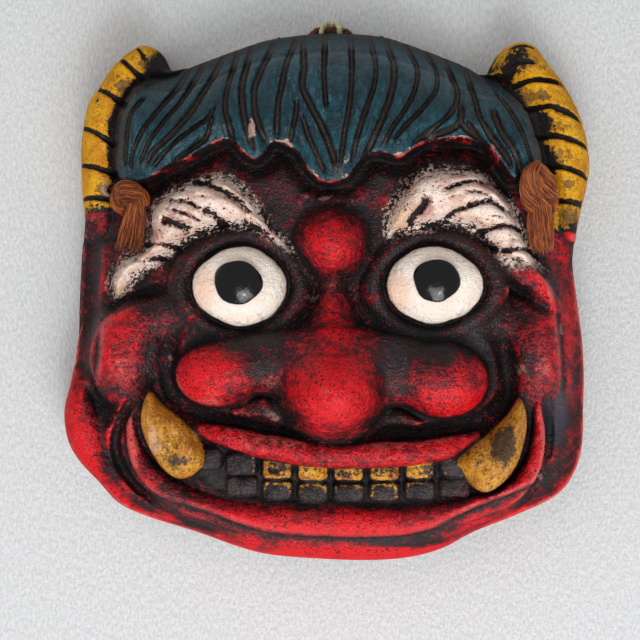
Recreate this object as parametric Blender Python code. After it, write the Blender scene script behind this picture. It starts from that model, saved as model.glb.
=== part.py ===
"""Ceramic oni mask: a press-moulded casting, hollow behind, with a fibre cord tied through two temple holes.

The mask lies on its rim, face up.  +Z leaves the face, +Y runs from chin to hair, +X is the onlooker's right.
Shapes are worked up in millimetres as a relief, the way clay is pressed, and become metres at the end.
"""
import math

import bmesh
import bpy
import numpy as np
from mathutils import Vector

MM = 0.001

# ------------------------------------------------------------------ driving dimensions (mm)
RELIEF_HALF = 112.0         # half side of the square that the relief is worked on
RELIEF_STEP = 0.5
WALL = 7.0                  # thickness of the clay
RIM_WIDTH = 8.0             # flat back rim that the mask lies on
RIM_ROUND = 13.0            # how far in from the rim the side wall has turned over
FRONT_CELLS = 192           # cells across the front before thinning, a multiple of the back's
BACK_CELLS = 32
FRONT_TRIANGLES = 7050
ARCH_HALF, ARCH_RISE = 25.0, 8.8    # shallow arch in the top of the rim, over the cord
HOLE_RADIUS = 2.0
HOLES = {"left": (-82.8, 40.8), "right": (85.6, 40.5)}
CORD_RADIUS = 1.4
CORD_SPACING = 4.0
LOOP_RADIUS = 0.95
LOOP_CENTRE = (1.3, 107.2, 4.3)
LOOP_HALF_WIDTH = 3.5       # from the middle of the loop to where each turn crosses the front
LOOP_TURN = 2.7             # how far the string stays from the middle of the cord
LOOP_LEAN = 1.2             # keeps the two turns apart behind the cord
REST_SNAP = 0.6             # corners this close to the table are put on it
KNOT_TRIANGLES, KNOT_VOXEL = 520, 0.6
GAP = 0.9                   # knots rest this far off the relief, clear of its facets
BUNDLE_STIFFNESS = 12       # how far the fibre bundles bridge a hollow: rounds of evening out

# ------------------------------------------------------------------ outlines and strokes (mm)
RIM = [(0, 105.7), (12, 105.2), (23, 104), (33, 101), (43, 97.3), (55, 92.5), (63, 88.6), (66, 93),
       (70, 98.8), (76.5, 101.5), (82.3, 99.7), (88, 92), (94.5, 83.5), (100.5, 72), (103.6, 61), (104.6, 50),
       (103, 40), (101, 32), (99.2, 22), (98.6, 9), (100.3, -6), (102, -20), (102.6, -40), (101.8, -60),
       (97.5, -72.5), (90, -80.5), (76, -87.3), (58, -94.5), (46, -100.8), (33, -104.4), (18, -105.7),
       (0, -105.3), (-22, -103.6), (-35, -100.5), (-52, -94.5), (-71, -88.5), (-83, -83), (-91.5, -74),
       (-99, -66), (-103.8, -57), (-105.2, -45), (-102.4, -33), (-100.3, -19), (-99.8, -2), (-98.8, 16),
       (-97, 28), (-98.2, 42), (-98.4, 60), (-95.7, 75.5), (-91, 83), (-85.6, 91.3), (-78.5, 97.4),
       (-72.5, 100), (-66.3, 97.4), (-61.8, 90.2), (-53, 92.8), (-40, 97.6), (-26, 102.4), (-14, 104.4)]
HAIR = [(0, 112), (40, 106), (62, 92), (68, 80), (74, 71), (78, 60), (80.5, 52), (80, 43), (75.5, 42),
        (72, 46), (69.5, 43.5), (65, 49), (61, 55.5), (55, 58.5), (43, 58.5), (35, 57), (30, 53.5),
        (26, 51.5), (20, 53), (14, 52), (10.5, 48), (7, 43.5), (1, 42), (-4, 43.5), (-8, 48), (-11, 53),
        (-15, 55.5), (-19, 57), (-22, 56), (-24, 52.5), (-27, 50.5), (-31, 53), (-34, 56.5), (-38, 58),
        (-44, 56), (-51, 52), (-58, 49), (-62, 47), (-67, 44), (-75, 43), (-80, 46), (-81.5, 54),
        (-81, 64), (-78, 73), (-72, 81), (-64, 88), (-45, 104)]
LOCKS = [
    [(-68, 76), (-74, 67), (-75.5, 56.5), (-76, 46)],
    [(-57, 80), (-63, 70), (-69, 61), (-73, 52.5), (-74, 44)],
    [(-50.5, 83), (-56, 72), (-61, 65), (-66.5, 56.5), (-71.5, 46)],
    [(-43, 85), (-47.5, 75.5), (-52, 67), (-59, 58.5), (-65.5, 52), (-70, 45)],
    [(-41, 73), (-44.5, 66), (-49.5, 62), (-56, 57), (-62.5, 50.5), (-67, 45.5)],
    [(-42.5, 68), (-45, 59), (-50, 54.5), (-59, 48.5)],
    [(-35.5, 90), (-37.5, 79.5), (-38.5, 70.5), (-37, 64), (-34.5, 55)],
    [(-30, 92), (-32, 81), (-32, 72.5), (-30.5, 63), (-26.5, 50.5)],
    [(-21.5, 95), (-25, 85), (-27.5, 76.5), (-27, 67), (-24.5, 59), (-22, 54)],
    [(-13, 96), (-15.5, 88), (-17, 79.5), (-18.5, 70), (-19, 56)],
    [(-9.5, 97), (-9, 86), (-9.5, 77.5), (-6.5, 70), (-2, 61), (1.5, 52), (3.5, 43)],
    [(-11.5, 73.5), (-12, 66), (-14.5, 55)],
    [(-10, 68), (-7.5, 59), (-3.5, 50), (-0.5, 43)],
    [(-1, 98), (-1.5, 82.5), (-0.5, 67)],
    [(9, 98), (9, 82.5), (8, 70.5), (6, 58.5), (4, 43)],
    [(16.5, 97), (18, 88.5), (17.5, 79), (14.5, 69.5), (11, 58.5), (8, 46)],
    [(23, 96), (25, 86.5), (24, 76.5), (20.5, 66), (16.5, 57), (12.5, 49)],
    [(31, 95), (34, 86.5), (32.5, 76.5), (28.5, 68.5), (23.5, 61), (19.5, 53)],
    [(39, 92), (41.5, 85), (40.5, 76.5), (35.5, 69.5), (28, 61.5), (22.5, 54.5)],
    [(46, 89), (49, 77), (46.5, 68.5), (39, 61.5), (29, 54)],
    [(50, 73), (49, 64), (42, 60), (34, 57)],
    [(49, 64.5), (53.5, 60.5), (57, 57.5)],
    [(54, 84), (56, 73), (57, 66), (61, 59), (66, 52), (70, 45)],
    [(62, 72), (64, 62), (69, 53), (73, 44)],
    [(51, 66), (56, 59.5), (60.5, 53.5), (64, 48)],
    [(64, 79), (69, 68), (73, 58), (77, 46)],
]
LOCK_WIDTHS = [2.0, 2.2, 2.0, 3.0, 2.0, 1.8, 2.4, 3.0, 2.8, 2.6, 3.0, 2.0, 2.2]     # taken in turn
# rolls are (x, y, height, half width)
HORNS = [[(-64, 91, 31, 7), (-71, 91.5, 34, 9.5), (-79, 85.5, 37, 10), (-86, 75, 39, 10),
          (-89, 61, 40, 9.5), (-89, 45, 38, 9), (-88, 27, 34, 8.5)],
         [(69, 91, 31, 7), (75, 90, 34, 10), (82, 82.5, 37, 10.5), (87.5, 72, 39, 11),
          (91, 58.5, 40, 12.5), (94, 44, 38, 9.5), (94, 27, 33, 6.5)]]
HORN_RINGS = [[(-80, 91), (-75, 86.5), (-71, 82.5)], [(-90, 80), (-83, 76.5), (-76, 71)],
              [(-97, 66), (-88, 61.5), (-80, 56.5)], [(-98, 51), (-88, 48.5), (-79, 45.5)],
              [(-98, 37.5), (-89, 37.3), (-82, 36.5)],
              [(71, 80), (79, 82.5), (90, 81.5)], [(73, 70), (83, 72), (90, 71), (98, 67)],
              [(77, 60), (86, 60.5), (94, 59.3), (102, 56.5)], [(82, 49.5), (90, 48.7), (102, 45)],
              [(87, 36.6), (100, 34.7)]]
BROWS = [[(-13.5, 15.5), (-17, 21), (-20, 24), (-24.5, 31.5), (-31, 39), (-38, 44), (-49, 43), (-60, 38.5),
          (-67, 32), (-69.5, 19), (-80, 13), (-84, 5), (-81, -1.5), (-77, 0), (-70, 8), (-60.5, 14.5),
          (-47.5, 22.5), (-41, 24.5), (-29, 24.5), (-19, 19)],
         [(22.5, 22), (21.5, 30), (27, 39), (34, 45.5), (43, 47.5), (55.5, 46.5), (63.5, 41), (69.5, 34),
          (74, 25), (80.5, 14), (85, 6), (87.5, -4), (84, -4), (75, 4.5), (71, 10), (64, 13.5),
          (56, 22.5), (45, 26), (30, 23)]]
BROW_CUTS = [
    ([(-52, 41.5), (-44, 40.5), (-33, 34.5), (-27, 26)], 4.2, 2.6),
    ([(-61, 35), (-52, 34), (-46, 30.5)], 2.4, 1.6),
    ([(-47, 31.5), (-42, 29), (-37, 24)], 4.4, 2.6),
    ([(-63, 27.5), (-57, 26.5), (-50, 23.5)], 4.4, 2.6),
    ([(-70, 18.5), (-60.5, 18.5), (-54, 16)], 2.6, 2.0),
    ([(-75, 12.5), (-66, 13.5), (-59, 13.5)], 2.4, 1.8),
    ([(-58, 31), (-51, 29), (-46, 26)], 1.8, 1.2),
    ([(42, 38), (52.5, 41.8), (61, 40)], 2.6, 1.8),
    ([(38, 36.5), (33, 30), (29, 25)], 4.6, 2.8),
    ([(42, 27), (47, 30.5), (54.5, 33.3), (61, 34), (69, 29)], 3.2, 2.4),
    ([(55, 22.5), (62, 24.8), (68, 25.5), (75, 23.5)], 3.0, 2.4),
    ([(63, 15.5), (70, 17), (77, 16.5), (82, 13)], 3.0, 2.2),
    ([(72, 10.5), (78, 9.5), (84, 6)], 2.6, 1.8),
    ([(50, 38), (57, 37.5), (65, 34)], 1.8, 1.2),
]
FROWN = [[(-13, 33.5, 48, 1.5), (-9.5, 35.6, 50, 2), (-6, 37.8, 50, 2), (-3, 39.5, 48, 1.5)],
         [(-7, 33.4, 48, 1.5), (-2, 35.8, 50.5, 2.4), (3, 36.5, 50.5, 2.4), (7, 36, 48, 1.5)]]
# each eye: centre, half width, half height of the ball, then centre and radius of the pupil
EYES = [(-32.9, 2.9, 17.5, 14.8, -33.2, 4.2, 8.6), (39.7, 3.4, 18.0, 14.4, 40.0, 5.0, 8.4)]
FANGS = [[(-67, -36.5), (-70, -43), (-70, -50), (-67, -58), (-62.5, -65), (-57, -69), (-51.5, -68.5),
          (-46.5, -64), (-45.5, -59), (-48.5, -53), (-55, -46.5), (-61.5, -41.5)],
         [(72, -39), (74.6, -45), (74.3, -53), (71.5, -63), (66.5, -70), (60, -74.3), (54.5, -72.5),
          (50, -66.5), (48, -62), (54, -56.5), (61, -51), (67, -45.5)]]
MOUTH = [(-47, -57), (-38, -58.5), (-28, -61), (-10, -64), (10, -65), (30, -64), (48, -62), (52, -68),
         (48, -75), (30, -80.5), (0, -79.5), (-25, -78.5), (-42, -75), (-50, -68)]
TOOTH_HALF, TOOTH_PITCH, TOOTH_MIDDLE = 5.9, 13.4, -5.6
# each row of teeth: height on the face, half height, top, and its first tooth counted from the middle
TOOTH_ROWS = [(-66.3, 4.1, 48.5, -3), (-74.6, 3.7, 45.6, -2)]
UPPER_LIP = [(-53, -50.5, 47, 2.2), (-46, -51.5, 50.5, 3.2), (-37, -53.5, 53.5, 4), (-28, -56, 54, 4.5),
             (-15, -58.5, 54.5, 5), (2, -60.3, 55, 5), (20, -60, 54.5, 5), (34, -59.3, 54, 4.6),
             (46, -57.3, 53, 4.2), (56, -53.5, 49, 2.4)]
LOWER_LIP = [(-73.5, -40, 41, 2), (-74.5, -50, 43, 2.4), (-73, -59, 44.5, 3.2), (-68, -67, 45.5, 4.5),
             (-58, -75, 46, 5), (-46, -80.5, 47, 5.5), (-32, -84.3, 48, 6), (-15, -85.5, 48.5, 6.4),
             (3, -85.8, 48.5, 6.4), (22, -86, 48.5, 5.8), (40, -84, 48, 5.4), (56, -80.5, 47.5, 4.8),
             (69, -75.5, 47, 4.2), (77, -66, 46, 3.6), (80, -54, 45, 2.8), (79.5, -42, 43, 2)]
# tooled lines are (points, width, depth): deep beside the fangs, shallow under the chin
JAW_CUTS = [
    ([(-71.5, -36), (-76.5, -44), (-80.5, -52), (-81.5, -59), (-79, -66.5), (-73, -74), (-65, -80)], 5, 3.6),
    ([(-75, -72), (-65, -80), (-54, -86), (-43, -91), (-30, -95)], 4, 1.8),
    ([(82, -36), (84.5, -46), (85, -56), (83, -66)], 5, 2.2),
    ([(84, -62), (79, -74.5), (72, -82), (60, -89), (48, -93.5), (36, -95.5), (12, -96)], 4, 1.4),
]


# ------------------------------------------------------------------ clay tools
def smooth_curve(points, closed=False, steps=6):
    """Catmull-Rom curve through rows of numbers; every column is carried along."""
    p = np.asarray(points, float)
    spans = len(p) if closed else len(p) - 1
    if closed:
        p = np.vstack([p[-1], p, p[0], p[1]])
    else:
        p = np.vstack([2 * p[0] - p[1], p, 2 * p[-1] - p[-2]])
    out = []
    for i in range(spans):
        a, b, c, d = p[i:i + 4]
        for t in np.arange(steps) / steps:
            out.append(0.5 * (2 * b + (c - a) * t + (2 * a - 5 * b + 4 * c - d) * t * t
                              + (3 * b - a - 3 * c + d) * t ** 3))
    if not closed:
        out.append(p[-2])
    return np.array(out)


def ease(t):
    t = np.clip(t, 0, 1)
    return t * t * (3 - 2 * t)


def quarter_round(t):
    """Rises from 0 to 1 like a quarter circle as t runs from 0 to 1."""
    return np.sqrt(1 - (1 - np.clip(t, 0, 1)) ** 2)


def blend_max(a, b, k):
    """The higher of two heights, with a fillet of about k where they meet."""
    m = np.maximum(k - np.abs(a - b), 0) / k
    return np.maximum(a, b) + m * m * k / 4


def blend_min(a, b, k):
    return -blend_max(-a, -b, k)


class Relief:
    """Heights over a square raster, in millimetres, worked up the way clay is."""

    def __init__(self, half, step):
        self.n = int(round(2 * half / step)) + 1
        self.half = half
        self.step = 2 * half / (self.n - 1)
        axis = np.linspace(-half, half, self.n)
        self.x, self.y = np.meshgrid(axis, axis)
        self.h = np.zeros_like(self.x)

    def window(self, xs, ys, reach):
        spans = []
        for v in (ys, xs):
            low = int((np.min(v) - reach + self.half) / self.step)
            high = int((np.max(v) + reach + self.half) / self.step) + 2
            spans.append(slice(max(low, 0), min(high, self.n)))
        return tuple(spans)

    def nearest(self, curve, reach, closed=False):
        """Distance to a curve, then the curve's other columns and the share of its length there."""
        ends = np.vstack([curve, curve[:1]]) if closed else curve
        lengths = np.hypot(*np.diff(ends[:, :2], axis=0).T)
        share = np.concatenate([[0], np.cumsum(lengths)]) / lengths.sum()
        ends = np.column_stack([ends, share])
        dist = np.full(self.x.shape, float(reach))
        vals = np.zeros(self.x.shape + (ends.shape[1] - 2,))
        for i, (a, b) in enumerate(zip(ends[:-1], ends[1:])):
            if lengths[i] == 0:
                continue
            win = self.window([a[0], b[0]], [a[1], b[1]], reach)
            x, y = self.x[win], self.y[win]
            ab = b[:2] - a[:2]
            t = np.clip(((x - a[0]) * ab[0] + (y - a[1]) * ab[1]) / (ab @ ab), 0, 1)
            d = np.hypot(x - a[0] - t * ab[0], y - a[1] - t * ab[1])
            near = d < dist[win]
            dist[win] = np.where(near, d, dist[win])
            vals[win] = np.where(near[..., None], a[2:] + t[..., None] * (b[2:] - a[2:]), vals[win])
        return dist, vals

    def inside(self, curve):
        """True where the raster lies inside a closed curve."""
        hit = np.zeros(self.x.shape, bool)
        for a, b in zip(curve, np.roll(curve, -1, axis=0)):
            if a[1] == b[1]:
                continue
            low, high = sorted((a[1], b[1]))
            win = (self.window([0], [low, high], 0)[0], slice(0, self.n))
            x, y = self.x[win], self.y[win]
            hit[win] ^= (y > low) & (y <= high) & (x < a[0] + (y - a[1]) * (b[0] - a[0]) / (b[1] - a[1]))
        return hit

    def field(self, points, reach, steps=6):
        """Signed distance to a closed smooth curve, positive inside, limited to the reach."""
        curve = smooth_curve(points, True, steps)
        dist = self.nearest(curve, reach, True)[0]
        return np.where(self.inside(curve), dist, -dist)

    def add(self, height, k):
        self.h = blend_max(self.h, height, k)

    def cap(self, cx, cy, rx, ry, top, drop, turn=0.0, k=3.0, power=2.0):
        """An egg-shaped swelling: its top, and how far it has fallen at its border."""
        c, s = math.cos(math.radians(turn)), math.sin(math.radians(turn))
        u = ((self.x - cx) * c + (self.y - cy) * s) / rx
        v = (-(self.x - cx) * s + (self.y - cy) * c) / ry
        r = (np.abs(u) ** power + np.abs(v) ** power) ** (1 / power)
        self.add(top - drop * (1 - np.sqrt(np.clip(1 - r * r, 0, 1))) - np.maximum(r - 1, 0) * 60, k)

    def mound(self, cx, cy, rx, ry, top, drop, k=6.0):
        """A soft swelling without a border, as much lower at the given radii as the drop."""
        self.add(top - drop * (((self.x - cx) / rx) ** 2 + ((self.y - cy) / ry) ** 2), k)

    def ridge(self, points, drop, k=2.5):
        """A rounded roll along a curve of (x, y, height, half width)."""
        curve = smooth_curve(points)
        reach = curve[:, 3].max() * 1.6
        d, v = self.nearest(curve, reach)
        t = d / np.maximum(v[..., 1], 0.2)
        z = v[..., 0] - drop * (1 - np.sqrt(np.clip(1 - t * t, 0, 1))) - np.maximum(t - 1, 0) * 30
        self.h = np.where(d < reach * 0.999, blend_max(self.h, z, k), self.h)

    def groove(self, points, width, depth, taper=0.18):
        """A tooled groove that runs out at its ends, with slightly raised lips."""
        half = width / 2
        d, v = self.nearest(smooth_curve(points), half * 1.9)
        fade = ease((1 - v[..., -1]) / taper) * ease(v[..., -1] / taper)
        cut = np.clip(1 - (d / half) ** 2, 0, 1)
        lip = np.clip(1 - ((d - half * 1.3) / (half * 0.55)) ** 2, 0, 1)
        self.h += fade * depth * (0.12 * lip - cut)


# ------------------------------------------------------------------ the face, from the big forms down
def face_mass(r, edge):
    """The domed shell with its jaw, forehead, cheeks and the swell under each eye."""
    r.h = 29 * quarter_round(edge / 13) + 16 * ease((edge - 4) / 42)
    r.cap(2, -64, 78, 42, 46, 14, k=8)
    r.cap(0, 32, 68, 30, 48, 9, k=8)
    r.cap(-36, -8, 30, 18, 50, 9, k=8)
    r.cap(41, -8, 30, 18, 50, 9, k=8)
    r.ridge([(-95, -34, 34, 6), (-97, -46, 37, 8), (-95, -58, 37, 9), (-89, -68, 35, 7), (-80, -77, 34, 6)],
            drop=9, k=5)
    r.groove([(-90, 30), (-91, 12), (-91.5, -6), (-90, -22), (-86, -36)], 8, 2.2)
    r.groove([(-91, -34), (-86, -43), (-82, -51)], 9, 2.2)
    r.groove([(87, 26), (89.5, 8), (91.5, -8), (92.5, -26), (91.5, -40)], 4, 0.5)
    r.ridge([(-63, -6, 46, 7), (-71, -11, 48.5, 11), (-77, -21, 50, 13.5), (-77.5, -32, 48, 12),
             (-75, -40, 43, 7)], drop=13, k=9)
    r.mound(79.5, -21, 14.5, 25, 49.5, 12, k=6)


def brows(r):
    for outline in BROWS:
        b = r.field(outline, 14, 4)
        r.h += 11 * quarter_round((b + 1) / 13) * ease((b + 1) / 6)
    for line, width, depth in BROW_CUTS:
        r.groove(line, width * 1.5, depth * 0.45)
        r.groove(line, width * 0.8, depth * 0.8)
    r.ridge([(64, 13, 49, 4), (74, 7, 47.5, 4.5), (80, 2, 45.5, 4), (85, -3, 43, 3.2), (88, -8, 39, 2.5)],
            drop=5, k=6)
    r.groove([(58, 7), (66, 4.5), (74, 0.5), (81, -5), (87, -10)], 6, 1.3)
    r.groove([(-85, -7), (-77, -3), (-70, -0.5), (-60, 3)], 6, 2.6)
    r.mound(1.4, 19, 13.5, 14, 64, 14, k=5)
    for wrinkle in FROWN:
        r.ridge(wrinkle, drop=2.5, k=2)


def eyes(r):
    """Bulging eyeballs with raised pupils, each in a socket with a thin lid."""
    for cx, cy, rx, ry, px, py, pupil in EYES:
        angle = np.arctan2(r.y - cy, r.x - cx)
        wobble = 1 + 0.02 * np.cos(4 * angle) + 0.012 * np.sin(3 * angle + cx)
        e = np.hypot((r.x - cx) / rx, (r.y - cy) / ry) / wobble
        away = (e - 1) * (rx + ry) / 2
        r.h = np.where(away < 9.5, blend_min(r.h, 47.5 + 6 * ease((away - 1) / 9), 4), r.h)
        lid = 51.0 - 2.5 * ((away - 4.2) / 3.4) ** 2
        r.h = np.where(np.abs(away - 4.2) < 4.5, blend_max(r.h, lid, 2.5), r.h)
        r.add(58 - 8 * (1 - np.sqrt(np.clip(1 - e * e, 0, 1))) - np.maximum(e - 1, 0) * 60, 1)
        q = np.hypot(r.x - px, r.y - py) / pupil
        r.add(60.4 - 2.6 * q ** 2 - np.maximum(q - 1, 0) * 60, 0.8)


def nose(r):
    r.cap(-40, -29.5, 17.5, 12.6, 62, 16, turn=4, k=6)
    r.cap(42.5, -31.8, 17.5, 14.4, 63, 16, turn=-6, k=6)
    r.ridge([(-36, -27, 60, 11), (-20, -25.5, 61, 12), (1.5, -28, 66, 16), (24, -28, 61, 13.5),
             (36, -30, 60, 12.5)], drop=13, k=6)
    r.ridge([(1.5, 8, 47, 6), (1.6, -1, 51, 8.5), (1.6, -10, 57, 12), (1.8, -20, 65, 17), (2, -29, 72, 19.5),
             (2, -34, 73, 18)], drop=24, k=8)
    r.mound(2, -35.5, 19, 18, 78.5, 22, k=7)
    r.ridge([(-34, -44, 48, 2.5), (-24, -42.5, 51, 4), (-15, -47, 49, 3)], drop=3, k=3)
    r.ridge([(15, -48, 49, 3), (25, -46, 50.5, 3.5), (34, -49, 48, 2)], drop=3, k=3)
    r.groove([(-50, -8), (-57.5, -15), (-60.5, -26), (-59, -36), (-52.5, -43), (-44, -46.5), (-35, -48.5),
              (-25, -50.5), (-12, -53.5), (0, -56)], 7.5, 3.4)
    r.groove([(56, -9), (65, -18), (68.5, -30), (66.5, -40), (58, -47.5), (47, -51), (35, -52.5), (22, -53),
              (8, -56)], 8.5, 3.6)


def teeth():
    """Middle, half height and top of every tooth, in two rows that rise towards the corners."""
    for row_y, half, top, first in TOOTH_ROWS:
        for i in range(first, 5):
            x = TOOTH_MIDDLE + TOOTH_PITCH * i
            rise = 0.0020 if x < 0 else 0.0008
            yield x, row_y + rise * (x - 2) ** 2, half, top


def mouth(r):
    """A sunk mouth with two rows of teeth, a band of lip above and below, and a fang at each corner."""
    sunk = ease((r.field(MOUTH, 8) + 0.5) / 2.5)
    r.h -= sunk * (r.h - 41.5)
    for x, y, half, top in teeth():
        r.cap(x, y, TOOTH_HALF, half, top, 1.6, k=0.6, power=4.5)
    r.ridge(UPPER_LIP, drop=6, k=1)
    r.ridge(LOWER_LIP, drop=7, k=1.5)
    for line, width, depth in JAW_CUTS:
        r.groove(line, width, depth)
    for outline in FANGS:
        b = r.field(outline, 12, 4)
        z = 46 + 10 * quarter_round(b / 9) - np.maximum(-b, 0) * 8
        r.h = blend_max(r.h, np.where(b > -8, z, -99), 0.6)


def hair_and_horns(r, edge):
    b = r.field(HAIR, 10, 4)
    r.h -= 3.5 * ease((b + 9.5) / 7) * ease((74 - np.abs(r.x)) / 8)
    z = 58 * quarter_round(edge / 50) - 4.5 * (1 - ease(b / 6)) - np.maximum(-b, 0) * 5
    r.h = blend_max(r.h, np.where(b > -9.5, z, -99), 1.2)
    for k, line in enumerate(LOCKS):
        r.groove(line, 5.5, 0.8)
        r.groove(line, LOCK_WIDTHS[k % len(LOCK_WIDTHS)], 2.2, taper=0.16)
    for roll in HORNS:
        r.ridge(roll, drop=16, k=0.8)
    for ring in HORN_RINGS:
        r.groove(ring, 2.6, 2.6, taper=0.08)


def sculpt():
    """The finished front of the mask, and the distance in from its outline."""
    r = Relief(RELIEF_HALF, RELIEF_STEP)
    edge = r.field(RIM, 60)
    face_mass(r, edge)
    brows(r)
    eyes(r)
    nose(r)
    mouth(r)
    hair_and_horns(r, edge)
    side_wall = 40 * quarter_round(edge / RIM_ROUND) + np.maximum(edge - RIM_ROUND, 0) * 4
    r.h = np.where(edge > 0, blend_min(r.h, side_wall, 3 + 4 * ease(edge / 8)), 0)
    return r, edge


# ------------------------------------------------------------------ the shell
def sample(r, grid, x, y):
    """Bilinear reading of a raster at points."""
    u = np.clip((x + r.half) / r.step, 0, r.n - 1.001)
    v = np.clip((y + r.half) / r.step, 0, r.n - 1.001)
    i, j = u.astype(int), v.astype(int)
    u, v = u - i, v - j
    low = grid[j, i] * (1 - u) + grid[j, i + 1] * u
    high = grid[j + 1, i] * (1 - u) + grid[j + 1, i + 1] * u
    return low * (1 - v) + high * v


def inner_face(r, edge):
    """The hollow's ceiling: the front moved in by the wall, as a ball of that radius would trace it."""
    coarse = 4
    h = np.where(edge > 0, r.h, 0)[::coarse, ::coarse]
    step = r.step * coarse
    reach = int(WALL / step)
    ceiling = np.full_like(h, 99.0)
    for i in range(-reach, reach + 1):
        for j in range(-reach, reach + 1):
            away = WALL ** 2 - (i * i + j * j) * step ** 2
            if away >= 0:
                ceiling = np.minimum(ceiling, np.roll(h, (i, j), (0, 1)) - math.sqrt(away))
    for _ in range(3):
        ceiling = sum(np.roll(ceiling, s, a) for s, a in ((1, 0), (-1, 0), (1, 1), (-1, 1), (0, 0))) / 5
    scaled = Relief(r.half, step)
    return scaled, ceiling


def rings_to_square(outline, cells):
    """A square grid of points drawn onto the area inside an outline, as evenly as its shape allows."""
    lengths = np.hypot(*(np.roll(outline, -1, axis=0) - outline).T)
    along = np.concatenate([[0], np.cumsum(lengths)]) / lengths.sum()
    loop = np.vstack([outline, outline[:1]])
    turn = np.arctan2(loop[:, 1], loop[:, 0])
    start = along[np.argmin(np.abs(turn + math.pi * 0.75))]
    t = (start + np.arange(4 * cells) / (4 * cells)) % 1
    border = np.column_stack([np.interp(t, along, loop[:, c]) for c in (0, 1)])
    grid = np.zeros((cells + 1, cells + 1, 2))
    grid[0, :] = border[:cells + 1]
    grid[:, -1] = border[cells:2 * cells + 1]
    grid[-1, ::-1] = border[2 * cells:3 * cells + 1]
    grid[::-1, 0] = np.vstack([border[3 * cells:], border[:1]])
    s = np.linspace(0, 1, cells + 1)
    a, b = s[:, None, None], s[None, :, None]
    corners = ((1 - a) * (1 - b) * grid[0, 0] + (1 - a) * b * grid[0, -1]
               + a * (1 - b) * grid[-1, 0] + a * b * grid[-1, -1])
    full = ((1 - a) * grid[:1, :] + a * grid[-1:, :] + (1 - b) * grid[:, :1] + b * grid[:, -1:] - corners)
    for _ in range(60):
        inner = (full[:-2, 1:-1] + full[2:, 1:-1] + full[1:-1, :-2] + full[1:-1, 2:]) / 4
        full[1:-1, 1:-1] = inner
    return full


def border_loop(cells):
    """Indices of a grid's border, in order round it."""
    k = np.arange(cells)
    side = cells + 1
    return np.concatenate([k, cells + k * side, cells * side + cells - k, (cells - k) * side])


def grid_faces(cells, offset, up):
    faces = []
    side = cells + 1
    for i in range(cells):
        for j in range(cells):
            a = offset + i * side + j
            quad = (a, a + 1, a + side + 1, a + side)
            faces.append(quad if up else quad[::-1])
    return faces


def arch(points):
    """How high the rim is lifted at the top, for the cord."""
    width = ease((ARCH_HALF - np.abs(points[:, 0] - LOOP_CENTRE[0])) / 5)
    return ARCH_RISE * width * (points[:, 1] > 60)


def shell_mesh():
    """Front relief, hollow back and the flat rim that joins them, as one closed body."""
    r, edge = sculpt()
    outline = smooth_curve(RIM, True, 8)
    tangent = np.roll(outline, -1, axis=0) - np.roll(outline, 1, axis=0)
    normal = np.column_stack([tangent[:, 1], -tangent[:, 0]]) / np.hypot(*tangent.T)[:, None]
    inset = outline + normal * RIM_WIDTH
    for _ in range(12):
        inset = (np.roll(inset, 1, axis=0) + inset + np.roll(inset, -1, axis=0)) / 3
    front = rings_to_square(outline, FRONT_CELLS).reshape(-1, 2)
    back = rings_to_square(inset, BACK_CELLS).reshape(-1, 2)
    z_front = np.maximum(sample(r, r.h, *front.T), 0)
    z_front[border_loop(FRONT_CELLS)] = 0
    z_front = np.maximum(z_front, arch(front))
    scaled, ceiling = inner_face(r, edge)
    z_back = np.maximum(sample(scaled, ceiling, *back.T), 4.0)
    rim_back = border_loop(BACK_CELLS)
    z_back[rim_back] = arch(back[rim_back])
    verts = np.vstack([np.column_stack([front, z_front]), np.column_stack([back, z_back])])
    offset = len(front)
    faces = grid_faces(FRONT_CELLS, 0, True) + grid_faces(BACK_CELLS, offset, False)
    outer, inner = border_loop(FRONT_CELLS), border_loop(BACK_CELLS) + offset
    ratio = FRONT_CELLS // BACK_CELLS
    for k in range(len(inner)):
        here, there = inner[k], inner[(k + 1) % len(inner)]
        run = [outer[(k * ratio + m) % len(outer)] for m in range(ratio + 1)]
        half = ratio // 2
        faces += [(run[m], here, run[m + 1]) for m in range(half)]
        faces.append((run[half], here, there))
        faces += [(run[m], there, run[m + 1]) for m in range(half, ratio)]
    return verts, faces


# ------------------------------------------------------------------ Blender objects
def material(name, colour, roughness):
    mat = bpy.data.materials.new(name)
    mat.use_nodes = True
    shader = mat.node_tree.nodes["Principled BSDF"]
    shader.inputs["Base Color"].default_value = (*colour, 1)
    shader.inputs["Roughness"].default_value = roughness
    shader.inputs["Metallic"].default_value = 0
    return mat


def add_object(name, mesh, mat=None):
    obj = bpy.data.objects.new(name, mesh)
    bpy.context.scene.collection.objects.link(obj)
    if mat:
        mesh.materials.append(mat)
    return obj


def evaluated_mesh(obj):
    """The object's mesh with its modifiers applied; the object itself is removed."""
    depsgraph = bpy.context.evaluated_depsgraph_get()
    mesh = bpy.data.meshes.new_from_object(obj.evaluated_get(depsgraph))
    bpy.data.objects.remove(obj)
    return mesh


def thinned(mesh, triangles):
    """A lighter copy of a mesh that keeps its corners and ridges."""
    mesh.calc_loop_triangles()
    obj = add_object("thinning", mesh)
    modifier = obj.modifiers.new("thin", 'DECIMATE')
    modifier.ratio = min(1, triangles / len(mesh.loop_triangles))
    modifier.use_collapse_triangulate = True
    return evaluated_mesh(obj)


def mesh_from(name, verts, faces):
    mesh = bpy.data.meshes.new(name)
    mesh.from_pydata([tuple(v) for v in verts], [], [tuple(int(i) for i in f) for f in faces])
    work = bmesh.new()
    work.from_mesh(mesh)
    bmesh.ops.recalc_face_normals(work, faces=work.faces)
    work.to_mesh(mesh)
    work.free()
    return mesh


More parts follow.
